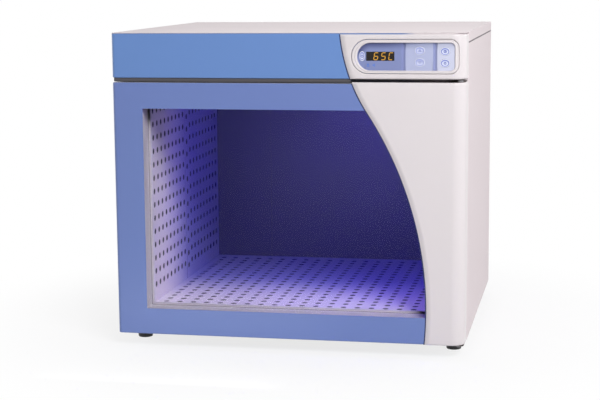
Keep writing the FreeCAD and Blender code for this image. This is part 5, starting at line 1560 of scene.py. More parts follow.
KEYS = (
    Key("key_power", (ring_mark(2.5, -240, 60), (((0, 0.6), (0, 3.4)), False))),
    Key("key_up", ((((-2.9, -1.9), (2.9, -1.9), (0, 2.5)), True),)),
    Key("key_down", ((((-2.9, 1.9), (0, -2.5), (2.9, 1.9)), True),)),
    Key("key_timer", (ring_mark(2.5), (((0, 1.6), (0, 0), (1.2, 0)), False))),
    Key("key_lamp", (ring_mark(1.9, -60, 240), (((-0.9, -2.4), (0.9, -2.4)), False))),
)


@dataclass
class ControlPanel:
    """Bezel, sunk panel and keys.

    Attributes:
        places: Places of the frame.
        bezel: Outer outline of the bezel.
        panel: Outline of the sunk panel.
        grooves: X of the two grooves between the zones.
        groove_half: Half the width of a groove.
        groove_depth: Depth of a groove.
        tuck: Width of the film that is hidden under the bezel.
        sheet: Thickness of the film.
        key_gap: Gap between a key and the film.
        key_flange: Width of a key's hidden flange.
        window_left: Distance of the display's left edge to the opening in the film.
        margin: The same distance at its right, below and above.
        window_frame: Width of the film between that opening and the power key's stretch.
        symbol_width: Width of the lines of a key's symbol.
        symbol_depth: Thickness of those lines.
        symbol_sink: Distance of the symbol's front behind the key's.
        marks_in: Distance of the marks to the right of the display's left edge.
        marks_down: Distance of the marks below the display.
        mark_width: Width of their lines.
        mark_depth: Thickness of their lines, half of it proud of the film.
    """

    places: Places
    bezel: RoundedPanel
    panel: RoundedPanel
    grooves: Pair
    groove_half: float = 4.8 * MM
    groove_depth: float = 1.4 * MM
    tuck: float = 1.5 * MM
    sheet: float = 1.5 * MM
    key_gap: float = 0.35 * MM
    key_flange: float = 1.2 * MM
    window_left: float = 1.0 * MM
    margin: float = 2.0 * MM
    window_frame: float = 1.5 * MM
    symbol_width: float = 1.3 * MM
    symbol_depth: float = 0.25 * MM
    symbol_sink: float = 0.30 * MM
    marks_in: float = 5.0 * MM
    marks_down: float = 7.0 * MM
    mark_width: float = 1.1 * MM
    mark_depth: float = 0.08 * MM

    # Counts: points round a key, rings round it, columns over a groove and the display.
    OVAL = 64
    RINGS = 4
    GROOVE = 13
    WINDOW = 14
    # Profile of the bezel: share of the way inwards, and rise from the skin in millimetres.
    RIM = (
        (0.0, 0.1), (0.0, 4.0), (0.02, 4.5), (0.06, 4.85), (0.14, 5.0), (0.34, 5.0), (0.40, 4.85),
        (0.45, 4.55), (0.49, 4.55), (0.54, 4.95), (0.62, 5.35), (0.72, 5.50), (0.82, 5.40),
        (0.90, 4.9), (0.96, 4.0), (1.0, 2.8), (1.0, 1.0),
    )
    # Profile of a key: share of the way outwards, and depth in millimetres.
    CAP = (
        (0.0, 0.5), (0.25, 0.46), (0.5, 0.36), (0.7, 0.25), (0.82, 0.18), (0.87, 0.06), (0.91, 0.0),
        (0.95, 0.02), (0.985, 0.16), (1.0, 0.4), (1.0, 2.4), (0.0, 2.4),
    )
    # Marks under the display: points in millimetres, whether they close, and X of the middle.
    MARKS = (
        (((-2.0, -2.6), (2.0, -2.6), (2.0, 0.6), (-2.0, 0.6)), True, 0.0),
        (((-1.3, 0.6), (-1.3, 1.8), (-0.7, 2.8), (0.7, 2.8), (1.3, 1.8), (1.3, 0.6)), False, 0.0),
        (((-2.4, -0.8), (-0.8, -0.8), (1.2, -2.6), (1.2, 2.6), (-0.8, 0.8), (-2.4, 0.8)), True, 12.4),
    )

    @property
    def front(self) -> float:
        """Depth of the panel's front."""
        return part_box("control_overlay")[0].y

    @property
    def film(self) -> RoundedPanel:
        """Outline of the film, with what is tucked under the bezel."""
        return self.panel.grown(self.tuck)

    def bezel_ring(self) -> None:
        """Bezel: its cross-section is carried from the outer outline to the inner one."""
        p = self.places
        outer, inner = self.bezel.points(), self.panel.points()
        share, rise = np.array(self.RIM).T
        flat = outer + share[:, None, None] * (inner - outer)
        along = p.wrap.along_of_x(flat[..., 0], p.skin_y - p.cover_y)
        ring = tube_of_rings(p.wrap.place(along, flat[..., 1], rise[:, None] * MM))
        make_piece("bezel_moulding", *ring, Palette.cover, "cabinet", "cover_white", ["bezel_ring"])

    def key_box(self, name: str) -> tuple[float, float, float, float]:
        """Middle and half sizes of a key's visible oval, from its node's box.

        Args:
            name: Node of the key.

        Returns:
            X and Z of the middle, then half the width and half the height.
        """
        low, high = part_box(name)
        x, z = (low.x + high.x) / 2, (low.z + high.z) / 2
        return x, z, (high.x - low.x) / 2 - self.key_flange, (high.z - low.z) / 2 - self.key_flange

    def cell(
        self, name: str, left: float, right: float, bottom: float, top: float, rounded: bool = False
    ) -> Surface:
        """Stretch of the panel round one key, pierced by the key's oval.

        Along each ray from the key's middle, points go from the oval to the nearest
        border: a side of the rectangle, or the panel's round end.

        Args:
            name: Key in the stretch.
            left: Left side.
            right: Right side.
            bottom: Lower side.
            top: Upper side.
            rounded: Whether the panel's round end closes the stretch at its left.

        Returns:
            The points and the faces.
        """
        x, z, half_x, half_z = self.key_box(name)
        end = self.film
        if rounded:
            rise = math.sqrt(end.radius**2 - (right - end.end_x) ** 2)
            corners = [(right, end.middle_z - rise), (right, end.middle_z + rise)]
        else:
            corners = [(left, bottom), (right, bottom), (right, top), (left, top)]
        at_corners = [math.atan2(cz - z, cx - x) for cx, cz in corners]
        even = np.linspace(-np.pi, np.pi, self.OVAL, endpoint=False)
        angle = np.sort(np.concatenate([even, at_corners]))
        ray = np.stack([np.cos(angle), np.sin(angle)])
        start = np.array([[x], [z]])
        low, high = np.array([[left], [bottom]]), np.array([[right], [top]])
        nearly_nought = 1e-9
        safe = np.where(np.abs(ray) < nearly_nought, nearly_nought, ray)
        reach = np.maximum((low - start) / safe, (high - start) / safe).min(axis=0)
        if rounded:
            to_end = np.array([[end.end_x], [end.middle_z]]) - start
            ahead = (ray * to_end).sum(axis=0)
            reach = np.minimum(reach, ahead + np.sqrt(ahead**2 - (to_end**2).sum() + end.radius**2))
        a, b = half_x + self.key_gap, half_z + self.key_gap
        oval = a * b / np.hypot(b * ray[0], a * ray[1])
        share = np.linspace(0, 1, self.RINGS)[:, None]
        flat = start[:, :, None] + ray[:, None, :] * (oval + share * (reach - oval))
        points = points_at(flat[0], self.front, flat[1])
        return points.reshape(-1, 3), grid_quads(self.RINGS, len(angle), wrap=True)

    def strips(self, x: Array, skipped: Pair | None) -> Surface:
        """Upright strips of the panel, with the grooves as a cosine dip.

        Args:
            x: X of each column of points.
            skipped: X from and to which the display's rectangle is left open.

        Returns:
            The points and the faces.
        """
        end = self.film
        reach = np.sqrt(end.radius**2 - np.minimum(x - end.end_x, 0.0) ** 2)
        low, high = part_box("display_module")
        bottom, top = low.z + self.margin, high.z - self.margin
        z = np.stack(np.broadcast_arrays(end.middle_z - reach, bottom, top, end.middle_z + reach))
        away = np.minimum(*[np.abs(x - groove) for groove in self.grooves])
        dip = self.groove_depth * (1 + np.cos(np.pi * np.clip(away / self.groove_half, 0, 1))) / 2
        points = points_at(x, self.front + dip, z).reshape(-1, 3)
        faces = grid_quads(len(z), len(x))
        if skipped:
            middle = points[faces].mean(axis=1)
            inside = (middle[:, 0] > skipped[0]) & (middle[:, 0] < skipped[1])
            open_row = (middle[:, 2] > bottom) & (middle[:, 2] < top)
            faces = faces[~(inside & open_row)]
        return points, faces

    def overlay(self) -> None:
        """Sunk panel: three zones, pierced for the keys and open for the display."""
        low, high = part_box("display_module")
        window = (low.x + self.window_left, high.x - self.margin)
        first = window[0] - self.window_frame
        end = self.film
        (a0, a1), (b0, b1) = ((x - self.groove_half, x + self.groove_half) for x in self.grooves)
        columns = [[first], np.linspace(*window, self.WINDOW), np.linspace(a0, a1, self.GROOVE)]
        parts = [
            self.cell("key_power", end.left, first, end.low, end.high, rounded=True),
            self.strips(np.concatenate(columns), window),
            self.strips(np.linspace(b0, b1, self.GROOVE), None),
        ]
        pairs = (("key_up", "key_down", a1, b0), ("key_timer", "key_lamp", b1, end.right))
        for upper, lower, left, right in pairs:
            between = (self.key_box(upper)[1] + self.key_box(lower)[1]) / 2
            parts.append(self.cell(upper, left, right, between, end.high))
            parts.append(self.cell(lower, left, right, end.low, between))
        finish = replace(
            Palette.panel, zones=self.grooves, end=(self.panel.end_x, self.panel.middle_z),
            radius=self.panel.radius,
        )
        make_piece(
            "panel_film", *joined(parts), finish, "cabinet", "overlay_lilac", ["control_overlay"],
            facing=Vector((0, -1, 0)), sheet=self.sheet,
        )

    def key_cap(self, key: Key) -> None:
        """Key: rings of its oval, with a rolled rim, a shallow dish and a hidden back.

        Args:
            key: Key to build.
        """
        x, z, half_x, half_z = self.key_box(key.name)
        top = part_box(key.name)[0].y
        share, sunk = np.array(self.CAP).T
        angle = np.linspace(0, 2 * np.pi, self.OVAL, endpoint=False)
        ring = np.stack([half_x * np.cos(angle), half_z * np.sin(angle)], axis=-1)
        flat = share[:, None, None] * ring
        points = points_at(x + flat[..., 0], (top + sunk * MM)[:, None], z + flat[..., 1])
        pattern = (flat / np.array([half_x, half_z])).reshape(-1, 2)
        faces = grid_quads(len(share), self.OVAL, wrap=True)
        make_piece(
            key.name + "_cap", points, faces, Palette.key, key.name, "key_lilac", [key.name], uv=pattern
        )
        front = top + self.symbol_sink
        lines = [
            stroke(np.array(path) * MM + (x, z), self.symbol_width, front, self.symbol_depth, closed)
            for path, closed in key.symbol
        ]
        make_piece(key.name + "_symbol", *joined(lines), Palette.symbol, key.name, "key_lilac")

    def marks(self) -> None:
        """Two small printed marks under the display: a lock and a sounder."""
        low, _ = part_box("display_module")
        front = self.front - self.mark_depth / 2
        lines = []
        for path, closed, aside in self.MARKS:
            middle = (low.x + self.marks_in + aside * MM, low.z - self.marks_down)
            path = np.array(path) * MM + middle
            lines.append(stroke(path, self.mark_width, front, self.mark_depth, closed))
        make_piece("panel_marks", *joined(lines), Palette.print_blue, "cabinet", "overlay_lilac")

    def build(self) -> None:
        """Build the panel, its keys, the display's figures and the marks, in this order."""
        self.bezel_ring()
        self.overlay()
        for key in KEYS:
            self.key_cap(key)
        Display().build()
        self.marks()
        dress(["control_board"], Palette.board)


@dataclass(frozen=True)
class Display:
    """Display: its dark window and four slanted figures, with their unlit bars faint
    beside the lit ones.

    Attributes:
        pitch: Distance from figure to figure.
        step: Half the width of a figure and a quarter of its height.
        slant: Shift to the right for each unit of height.
        inset: Distance of the last figure's middle from the display's right side.
        half: Half the width of a bar.
        gap: Distance of a bar's tip from the corner that it points to.
        rise: How far a bar stands out before and behind the display's face.
    """

    pitch: float = 15.6 * MM
    step: Pair = (3.9 * MM, 3.6 * MM)
    slant: float = math.tan(math.radians(9))
    inset: float = 9.2 * MM
    half: float = 0.85 * MM
    gap: float = 0.25 * MM
    rise: float = 0.05 * MM

    # Faces of a bar's front and back, by the numbers of its twelve points.
    CAPS = ((0, 1, 2, 5), (5, 2, 3, 4), (6, 11, 8, 7), (11, 10, 9, 8))

    def bar(self, ends: Array, centre: Array, y: float) -> Surface:
        """One bar with pointed ends, as a thin plate of quads.

        Args:
            ends: X and Z of both ends, from the figure's middle.
            centre: X and Z of that middle.
            y: Depth of the display's face.

        Returns:
            The points and the faces.
        """
        run = (ends[1] - ends[0]) / np.linalg.norm(ends[1] - ends[0])
        side = np.array([-run[1], run[0]]) * self.half
        tip, heel = ends[0] + run * self.gap, ends[1] - run * self.gap
        inner_tip, inner_heel = tip + run * self.half, heel - run * self.half
        flat = np.array([tip, inner_tip + side, inner_heel + side, heel, inner_heel - side, inner_tip - side])
        flat[:, 0] += flat[:, 1] * self.slant
        flat += centre
        points = points_at(flat[:, 0], [[y - self.rise], [y + self.rise]], flat[:, 1])
        count = len(flat)
        step = np.arange(count)
        after = (step + 1) % count
        walls = np.stack([step, after, after + count, step + count], axis=-1)
        return points.reshape(-1, 3), np.concatenate([walls, self.CAPS])

    def build(self) -> None:
        """Build the lit and the unlit bars, and dress the window."""
        low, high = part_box("display_module")
        last_x, middle_z = high.x - self.inset, (low.z + high.z) / 2
        lit, unlit = [], []
        for place, bars in enumerate(FIGURES, start=1 - len(FIGURES)):
            centre = np.array([last_x + place * self.pitch, middle_z])
            for bar in Segment:
                group = lit if bar in bars else unlit
                group.append(self.bar(np.array(bar.value) * self.step, centre, low.y))
        for name, bars, finish in (("lit", lit, Palette.digits), ("unlit", unlit, Palette.digits_off)):
            make_piece("display_bars_" + name, *joined(bars), finish, "cabinet", "display_black")
        dress(["display_module"], Palette.display)


# ---------- casing
class Way(Enum):
    """Which way a screw's head looks."""

    FRONT = -1.0
    REAR = 1.0


@dataclass
class Casing:
    """Outer sheet metal, its screws and its feet.

    Attributes:
        places: Places of the frame.
        head_radius: Radius of a screw's head.
        front_head: Height of the heads at the front.
        rear_head: Height of the heads at the rear.
        head_grid: Count of grid lines over a head.
        slot: Half the width of a head's cross recess, and of that its sloped wall.
        slot_end: Reach of the recess, and of that its sloped end.
        slot_depth: Depth of the recess, as a share of the head's height.
        strip_drop: Height of the grey strip under the fascia.
        strip_front: Distance of the strip's front behind the fascia's.
        strip_back: Distance of the strip's back behind the fascia's front.
        strip_bulge: How far the middle of the strip bulges.
        end_gap: Distance of the strip's left end from the fascia's.
    """

    places: Places
    head_radius: float = 4.0 * MM
    front_head: float = 1.2 * MM
    rear_head: float = 2.5 * MM
    head_grid: int = 27
    slot: Pair = (0.17, 0.08)
    slot_end: Pair = (0.62, 0.12)
    slot_depth: float = 0.55
    strip_drop: float = 8.2 * MM
    strip_front: float = 3.2 * MM
    strip_back: float = 6.5 * MM
    strip_bulge: float = 0.8 * MM
    end_gap: float = 4.0 * MM

    # Profile of a foot: radius and height in millimetres, from the screw's bore outwards.
    FOOT = (
        (3.2, 12.0), (6.5, 12.0), (6.5, 0.9), (7.2, 0.0), (14.4, 0.0), (15.5, 0.35), (16.0, 1.2),
        (17.1, 8.5), (18.9, 20.0), (19.5, 23.6), (19.2, 24.2), (19.7, 24.9), (20.2, 27.6),
        (20.4, 28.8), (20.1, 29.7), (19.4, 30.0), (3.2, 30.0),
    )

    def screw(self, low: Vector, high: Vector) -> Surface:
        """Pan head with a cross recess.

        A square grid is drawn into a disc by shortening each coordinate by the root of
        one less half of the other's square. The head's rise is the root of one less
        the fourth power of the radius, and a cross-shaped dip is taken out of it. The
        dip's sizes are shares of the head's radius.

        Args:
            low: Lowest corner of the screw.
            high: Highest corner of the screw.

        Returns:
            The points and the faces.
        """
        if low.y < 0:
            way, height, seat = Way.FRONT, self.front_head, low.y + self.front_head
        else:
            way, height, seat = Way.REAR, self.rear_head, high.y - self.rear_head
        line = np.linspace(-1, 1, self.head_grid)
        a, b = np.meshgrid(line, line, indexing="ij")
        x, z = a * np.sqrt(1 - b * b / 2), b * np.sqrt(1 - a * a / 2)
        reach = np.minimum(np.hypot(x, z), 1.0)
        dome = np.sqrt(1 - reach**4)
        thin, long = np.minimum(np.abs(x), np.abs(z)), np.maximum(np.abs(x), np.abs(z))
        sunk = np.clip((self.slot[0] - thin) / self.slot[1], 0, 1)
        sunk = sunk * np.clip((self.slot_end[0] - long) / self.slot_end[1], 0, 1)
        rise = height * dome * (1 - self.slot_depth * sunk)
        centre_x, centre_z = (low.x + high.x) / 2, (low.z + high.z) / 2
        place_x, place_z = centre_x + self.head_radius * x, centre_z + self.head_radius * z
        outer = points_at(place_x, seat + way.value * rise, place_z)
        return slab(outer, points_at(place_x, seat, place_z))

    def screws(self) -> None:
        """Heads of all machine screws, at the places of the frame's own."""
        heads = [self.screw(low, high) for low, high in solids_of("machine_screws")]
        make_piece("screw_heads", *joined(heads), Palette.screw, "cabinet", "screw_steel", ["machine_screws"])

    def gap_shade_strip(self) -> None:
        """Grey strip in most of the gap between the fascia and the door, its grey a painted shade of that
        gap.

        Its front stands proud by the bulge times a half sine over its height.
        """
        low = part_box("head_fascia")[0]
        share = np.linspace(0, 1, 9)[:, None]
        x = np.linspace(low.x + self.end_gap, float(self.places.sweep.x(np.array(low.z))), 3)
        z = low.z - self.strip_drop * share
        front = low.y + self.strip_front - self.strip_bulge * np.sin(np.pi * share)
        strip = slab(points_at(x, front, z), points_at(x, low.y + self.strip_back, z))
        make_piece("fascia_gap_shade_strip", *strip, Palette.strip, "cabinet", "gasket_grey")

    def foot(self, node: str) -> None:
        """Rubber foot, turned from its profile.

        Args:
            node: Foot of the frame.
        """
        low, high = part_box(node)
        rings = lathe(np.array(self.FOOT) * MM, ((low.x + high.x) / 2, (low.y + high.y) / 2, low.z))
        make_piece(node + "_rubber", *tube_of_rings(rings), Palette.rubber, "cabinet", "foot_rubber", [node])

    def build(self) -> None:
        """Build and dress the casing."""
        panels = ["base_pan", "side_panel_left", "side_panel_right", "rear_panel", "top_cover", "face_frame"]
        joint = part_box("top_cover")[0].z
        dress(panels, replace(Palette.casing, joint=joint))
        self.screws()
        self.gap_shade_strip()
        for end in ("front", "rear"):
            for side in ("left", "right"):
                self.foot(f"foot_{end}_{side}")
        dress(["foot_screws"], Palette.screw)
        dress(["head_fascia"], Palette.head_blue)
        dress(["door_skin"], Palette.door_blue)


# ---------- chamber
@dataclass(frozen=True)
class PiercedSheet:
    """Flat sheet with rows and columns of round holes.

    Attributes:
        span: Low and high edge along the first direction, then along the second.
        first: Place of the first hole along each direction.
        count: Count of holes along each direction.
        pitch: Distance between holes.
        radius: Radius of a hole.
        folds: Places of further lines along the second direction, where it folds.
    """

    span: tuple[Pair, Pair]
    first: Pair
    count: tuple[int, int]
    pitch: float
    radius: float
    folds: tuple[float, ...] = ()

    def lines(self, way: int) -> tuple[Array, int]:
        """Grid lines along one direction; four spaces of the grid make one pitch.

        Args:
            way: Direction, 0 or 1.

        Returns:
            Places of the lines, and the number of the pierced field's first line.
        """
        low, high = self.span[way]
        start = self.first[way] - self.pitch / 2
        field = start + self.pitch / 4 * np.arange(4 * self.count[way] + 1)
        before = [low, *(self.folds if way else ())]
        return np.concatenate([before, field, [high]]), len(before)

    def surface(self) -> tuple[Array, Array, Array]:
        """Both coordinates of each vertex, and the quads.

        Every hole takes the place of four by four quads: sixteen points of its circle
        are joined to the sixteen points round those quads.

        Returns:
            First coordinates, second coordinates and faces.
        """
        u, skip_u = self.lines(0)
        v, skip_v = self.lines(1)
        i, j = np.meshgrid(np.arange(len(u) - 1), np.arange(len(v) - 1), indexing="ij")
        pierced_u = (i >= skip_u) & (i < skip_u + 4 * self.count[0])
        pierced_v = (j >= skip_v) & (j < skip_v + 4 * self.count[1])
        plain = grid_quads(len(u), len(v))[~(pierced_u & pierced_v).ravel()]
        side = np.arange(4)
        du = np.concatenate([side, np.full(4, 4), 4 - side, np.zeros(4, dtype=int)])
        dv = np.concatenate([np.zeros(4, dtype=int), side, np.full(4, 4), 4 - side])
        a, b = np.meshgrid(np.arange(self.count[0]), np.arange(self.count[1]), indexing="ij")
        a, b = a.reshape(-1, 1), b.reshape(-1, 1)
        border = (skip_u + 4 * a + du) * len(v) + skip_v + 4 * b + dv
        rim = len(u) * len(v) + np.arange(border.size).reshape(border.shape)
        ring = np.stack(
            [border, np.roll(border, -1, axis=1), np.roll(rim, -1, axis=1), rim], axis=-1
        ).reshape(-1, 4)
        angle = -3 * np.pi / 4 + np.arange(16) * np.pi / 8
        hole_u = self.first[0] + self.pitch * a + self.radius * np.cos(angle)
        hole_v = self.first[1] + self.pitch * b + self.radius * np.sin(angle)
        grid_u, grid_v = np.meshgrid(u, v, indexing="ij")
        all_u = np.concatenate([grid_u.ravel(), hole_u.ravel()])
        all_v = np.concatenate([grid_v.ravel(), hole_v.ravel()])
        used, faces = np.unique(np.concatenate([plain, ring]), return_inverse=True)
        return all_u[used], all_v[used], faces.reshape(-1, 4)


@dataclass
class Chamber:
    """Inner chamber: pierced walls and floor, ceiling, back, lamp.

    Attributes:
        pitch: Distance between holes in the walls.
        floor_pitch: Distance between holes in the floor.
        hole: Radius of a hole.
        sheet: Thickness of the sheets.
        columns: Count of holes along a front or a rear wall sheet.
        rows: Count of holes up a wall.
        first_row: Height of the lowest holes above the wall's lower edge.
        joint_drop: How much lower the holes of the joint strip lie.
        joint_proud: Thickness of the joint strip, all of it proud of the sheets.
        first_line: Distance of the floor's first holes from its fold.
        fold_line: Distance of the first grid line behind the fold.
    """

    pitch: float = 30.0 * MM
    floor_pitch: float = 31.0 * MM
    hole: float = 6.9 * MM
    sheet: float = 0.7 * MM
    columns: int = 9
    rows: int = 14
    first_row: float = 62.0 * MM
    joint_drop: float = 8.0 * MM
    joint_proud: float = 0.6 * MM
    first_line: float = 24.0 * MM
    fold_line: float = 4.0 * MM

    def walls(self) -> None:
        """Side walls, each of a front sheet, a rear sheet and a joint strip between."""
        low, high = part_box("duct_panels_right")
        middle = (low.y + high.y) / 2
        strip = (middle - self.pitch / 2, middle + self.pitch / 2)
        first_z = low.z + self.first_row
        front_y = middle - self.columns * self.pitch
        runs = (
            ("front", (low.y, strip[0]), front_y, self.columns, 0.0, 0.0),
            ("joint", strip, middle, 1, self.joint_drop, self.joint_proud),
            ("rear", (strip[1], high.y), middle + self.pitch, self.columns, 0.0, 0.0),
        )
        for side, word in ((-1.0, "left"), (1.0, "right")):
            for name, span, first_y, columns, drop, proud in runs:
                first, count = (first_y, first_z - drop), (columns, self.rows)
                sheet = PiercedSheet((span, (low.z, high.z)), first, count, self.pitch, self.hole)
                y, z, faces = sheet.surface()
                make_piece(
                    f"duct_wall_{word}_{name}", points_at(side * (low.x - proud), y, z), faces,
                    Palette.enamel, "cabinet", "chamber_enamel", ["duct_panels_" + word],
                    facing=Vector((-side, 0, 0)), sheet=proud or self.sheet,
                )

    def floor(self) -> None:
        """Floor, folded down at its front edge: past the fold the sheet runs downwards."""
        low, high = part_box("floor_panel")
        fold = low.y
        drop = high.z - low.z
        columns = int((high.x - low.x) / self.floor_pitch)
        rows = int((high.y - low.y - self.floor_pitch / 2) / self.floor_pitch)
        first_x = (low.x + high.x) / 2 - (columns - 1) * self.floor_pitch / 2
        span = ((low.x, high.x), (fold - drop, high.y))
        sheet = PiercedSheet(
            span, (first_x, fold + self.first_line), (columns, rows),
            self.floor_pitch, self.hole, (fold, fold + self.fold_line),
        )
        x, v, faces = sheet.surface()
        points = points_at(x, np.maximum(v, fold), high.z - np.maximum(fold - v, 0.0))
        make_piece(
            "floor_sheet", points, faces, Palette.enamel, "cabinet", "chamber_enamel", ["floor_panel"],
            facing=Vector((0, -0.4, 1)), sheet=self.sheet,
        )

    def build(self) -> None:
        """Build and dress the chamber."""
        self.walls()
        self.floor()
        dress(["chamber_wrap"], Palette.duct_shade)
        dress(["ceiling_panel"], Palette.ceiling)
        dress(["chamber_back"], Palette.back_wall)
        dress(["lamp_channel"], Palette.lamp_channel)
        dress(["lamp_lens"], Palette.lamp_lens)
        dress(["insulation_sides", "insulation_bottom", "insulation_top", "insulation_rear"], Palette.wool)


# ---------- door
@dataclass
class DoorSeal:
    """Seal on the door's back: a bulb round the outside and a fin at the opening.

    Attributes:
        corner: Radius of the seal's outer corners.
    """

    corner: float = 26.0 * MM

    # Profile of the seal: way inwards and rise to the rear, in millimetres.
    PROFILE = (
        (0.0, 0.2), (0.0, 5.5), (0.8, 8.2), (2.6, 9.5), (5.4, 9.6), (7.4, 8.4), (8.2, 6.2), (9.2, 4.6),
        (11.0, 4.2), (14.0, 4.4), (18.0, 5.8), (20.5, 7.8), (22.2, 9.0), (23.6, 9.0), (24.2, 8.2),
        (24.2, 0.2),
    )

    def build(self) -> None:
        """Carry the profile round a rectangle with rounded corners: each point is a
        corner's centre plus what is left of the radius along the cosine and sine."""
        low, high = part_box("door_gasket")
        inward, rise = np.array(self.PROFILE).T * MM
        turn = np.linspace(0, np.pi / 2, 8)
        angle = (turn + np.arange(4)[:, None] * np.pi / 2).ravel()
        left, right, bottom, top = (
            low.x + self.corner, high.x - self.corner, low.z + self.corner, high.z - self.corner
        )
        radius = (self.corner - inward)[:, None]
        x = np.repeat([right, left, left, right], len(turn)) + radius * np.cos(angle)
        z = np.repeat([top, top, bottom, bottom], len(turn)) + radius * np.sin(angle)
        seal = tube_of_rings(points_at(x, (low.y + rise)[:, None], z))
        make_piece("door_seal", *seal, Palette.gasket, "door", "gasket_grey", ["door_gasket"])


# ---------- what the frame shows whole
@dataclass(frozen=True)
class Dressing:
    """Nodes that keep the frame's own shape, under the finish that each has.

    Attributes:
        nodes: Each finish with the names of its nodes.
    """

    nodes: tuple[tuple[Finish, tuple[str, ...]], ...]

    def build(self) -> None:
        """Dress them all."""
        for finish, names in self.nodes:
            dress(names, finish)


AIRFLOW = Dressing((
    (Palette.wheel, ("impeller",)),
    (Palette.plated, ("intake_guard", "heater_clips", "temperature_probe")),
    (Palette.motor, ("fan_motor", "limit_thermostat")),
    (Palette.sheath, ("heater_ring",)),
))
ELECTRICS = Dressing((
    (Palette.plated, ("component_deck", "power_supply")),
    (Palette.sink, ("heater_relay",)),
    (Palette.module, ("power_module", "rocker")),
))
DOOR = Dressing((
    (Palette.liner, ("door_liner",)),
    (Palette.glass, ("glass_outer", "glass_inner")),
    (Palette.tape, ("glazing_tape",)),
    (Palette.pull, ("edge_pull",)),
    (Palette.magnet, ("magnet_catch",)),
    (Palette.plated, ("strike_plate",)),
    (Palette.bracket, ("hinge_brackets",)),
    (Palette.screw, ("hinge_pins",)),
    (Palette.bronze, ("hinge_bushes",)),
))


# ---------- studio
@dataclass(frozen=True)
class SoftBox:
    """Area light aimed at a point.

    Attributes:
        name: Name of the light.
        place: Where it hangs.
        aim: Point that it looks at.
        size: Width and height.
        power: Power in watts.
        colour: Linear colour.
    """

    name: str
    place: tuple[float, float, float]
    aim: tuple[float, float, float]
    size: Pair
    power: float
    colour: tuple[float, float, float] = (1.0, 1.0, 1.0)

    def build(self) -> None:
        """Hang the light."""
        light = bpy.data.lights.new(self.name, "AREA")
        light.shape = "RECTANGLE"
        light.size, light.size_y = self.size
        light.energy = self.power
        light.color = self.colour
        lamp = bpy.data.objects.new(self.name, light)
        lamp.location = self.place
        way = Vector(self.aim) - Vector(self.place)
        lamp.rotation_euler = way.to_track_quat("-Z", "Y").to_euler()
        lamp.visible_camera = False
        bpy.context.scene.collection.objects.link(lamp)


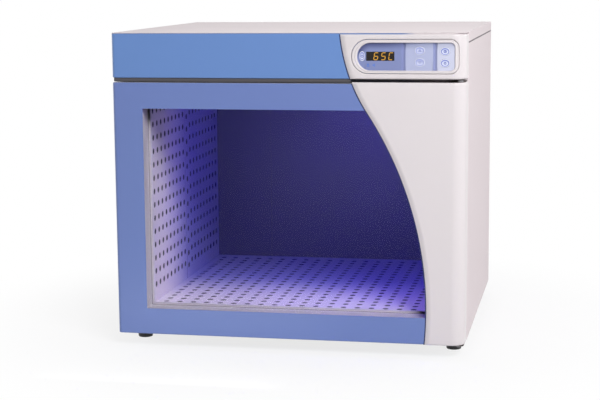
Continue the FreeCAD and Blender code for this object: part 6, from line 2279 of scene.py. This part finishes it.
@dataclass(frozen=True)
class Studio:
    """White room, soft lights and the camera.

    Attributes:
        eye: Place of the camera.
        yaw: Turn to the left, in radians.
        pitch: Turn down, in radians.
        roll: Turn about the view, in radians.
        lens: Focal length in millimetres.
        sensor: Width of the camera's sensor in millimetres.
        ambient: Strength of the light from all round.
        floor_reach: Half the side of the floor.
        fade: Distances from the middle between which the floor turns white.
        near_white: Share of white that the floor has before that.
        dull_floor: Colour of the floor as other surfaces gather it.
        seen_floor: Colour of the floor as it is seen.
    """

    eye: tuple[float, float, float] = (0.6462, -3.4220, 0.8086)
    yaw: float = 0.1979
    pitch: float = 0.1500
    roll: float = -0.0085
    lens: float = 89.4
    sensor: float = 36.0
    ambient: float = 0.17
    floor_reach: float = 14.0
    fade: Pair = (0.30, 0.95)
    near_white: float = 0.78
    dull_floor: Colour = (0.74, 0.74, 0.75, 1.0)
    seen_floor: Colour = (0.86, 0.86, 0.89, 1.0)

    MIDDLE = (0.0, 0.0, 0.35)
    LIGHTS = (
        SoftBox("key_light", (1.84, -2.83, 2.66), MIDDLE, (1.8, 1.4), 130.0),
        SoftBox("right_light", (3.17, 1.28, 1.46), MIDDLE, (1.8, 1.8), 30.0),
        SoftBox("left_light", (-3.42, 0.60, 1.28), MIDDLE, (1.8, 1.8), 32.0),
        SoftBox("rear_light", (-0.40, 3.10, 2.15), MIDDLE, (2.0, 1.6), 22.0),
        SoftBox("bounce_light", (-0.22, -0.64, 0.03), (-0.22, -0.35, 0.05), (0.5, 0.04), 0.17),
        SoftBox(
            "chamber_light", (0.11, -0.262, 0.524), (0.22, 0.30, 0.27), (0.26, 0.016), 3.3, (0.19, 0.13, 1.0)
        ),
    )

    @staticmethod
    def in_view(tree: Tree) -> Socket:
        """Tell what is seen from what only lights.

        Args:
            tree: Tree of the world or of the floor.

        Returns:
            One for what is seen straight, in gloss or through glass; nought for light
            that a dull surface gathers.
        """
        path = tree.add("ShaderNodeLightPath").outputs
        seen = tree.maths("MAXIMUM", path["Is Camera Ray"], path["Is Transmission Ray"])
        seen = tree.maths("MAXIMUM", seen, path["Is Glossy Ray"])
        return tree.maths("MULTIPLY", seen, tree.maths("LESS_THAN", path["Diffuse Depth"], 0.5))

    def world(self) -> None:
        """World that lights softly and looks white."""
        world = bpy.data.worlds.new("white_room")
        tree = emptied(world)
        seen = self.in_view(tree)
        strength = tree.add("ShaderNodeMapRange", {"Value": seen, "To Min": self.ambient}).outputs[0]
        sky = tree.add("ShaderNodeBackground", {"Color": (1, 1, 1, 1), "Strength": strength})
        tree.add("ShaderNodeOutputWorld", {"Surface": sky.outputs[0]})
        bpy.context.scene.world = world

    def floor(self) -> None:
        """Pale floor that keeps its shading near the cabinet and turns white further off."""
        mesh = bpy.data.meshes.new("studio_floor")
        reach = self.floor_reach
        corners = [(-reach, -reach, 0), (reach, -reach, 0), (reach, reach, 0), (-reach, reach, 0)]
        mesh.from_pydata(corners, [], [(0, 1, 2, 3)])
        material = bpy.data.materials.new("studio_floor")
        tree = emptied(material)
        place = tree.add("ShaderNodeTexCoord").outputs["Object"]
        distance = tree.add("ShaderNodeVectorMath", {0: place}, operation="LENGTH").outputs["Value"]
        far = tree.stretch(distance, *self.fade, self.near_white, 1.0)
        seen = self.in_view(tree)
        pale = tree.mix(seen, self.dull_floor, self.seen_floor)
        plain = tree.add("ShaderNodeBsdfDiffuse", {"Color": pale})
        white = tree.add("ShaderNodeEmission", {"Color": (1, 1, 1, 1), "Strength": 1.0})
        share = tree.maths("MULTIPLY", far, seen)
        mixed = tree.add("ShaderNodeMixShader", {0: share, 1: plain.outputs[0], 2: white.outputs[0]})
        tree.add("ShaderNodeOutputMaterial", {"Surface": mixed.outputs[0]})
        mesh.materials.append(material)
        floor = bpy.data.objects.new("studio_floor", mesh)
        bpy.context.scene.collection.objects.link(floor)

    def camera(self) -> None:
        """Camera with its view's own axes: right, up and back."""
        turn, tilt = self.yaw, self.pitch
        level = math.cos(tilt)
        ahead = Vector((-math.sin(turn) * level, math.cos(turn) * level, -math.sin(tilt)))
        right = ahead.cross(Vector((0, 0, 1))).normalized()
        up = right.cross(ahead)
        c, s = math.cos(self.roll), math.sin(self.roll)
        axes = (c * right + s * up, c * up - s * right, -ahead)
        lens = bpy.data.cameras.new("photo_camera")
        lens.sensor_width = self.sensor
        lens.lens = self.lens
        camera = bpy.data.objects.new("photo_camera", lens)
        camera.matrix_world = Matrix.Translation(self.eye) @ Matrix(axes).transposed().to_4x4()
        bpy.context.scene.collection.objects.link(camera)
        bpy.context.scene.camera = camera

    def build(self) -> None:
        """Set up the room."""
        self.world()
        self.floor()
        self.camera()
        for light in self.LIGHTS:
            light.build()
        bpy.context.scene.view_settings.view_transform = "Standard"


def main() -> None:
    """Build the sub-assemblies in order, then the room round them."""
    places = Places.read()
    half, low = places.half, places.head_low
    bezel = RoundedPanel(
        left=half - 238.0 * MM, right=half - 15.5 * MM, low=low + 12.0 * MM, high=low + 81.8 * MM,
        corner=18.0 * MM,
    )
    panel = RoundedPanel(
        left=half - 226.5 * MM, right=half - 23.5 * MM, low=low + 18.0 * MM, high=low + 75.0 * MM,
        corner=9.0 * MM,
    )
    grooves = (half - 129.8 * MM, half - 64.2 * MM)
    MouldedCovers(places, bezel).build()
    ControlPanel(places, bezel, panel, grooves).build()
    for assembly in (Casing(places), Chamber(), DoorSeal(), AIRFLOW, ELECTRICS, DOOR, Studio()):
        assembly.build()


if __name__ == "__main__":
    logging.basicConfig(level=logging.INFO, format="%(name)s: %(message)s")
    main()
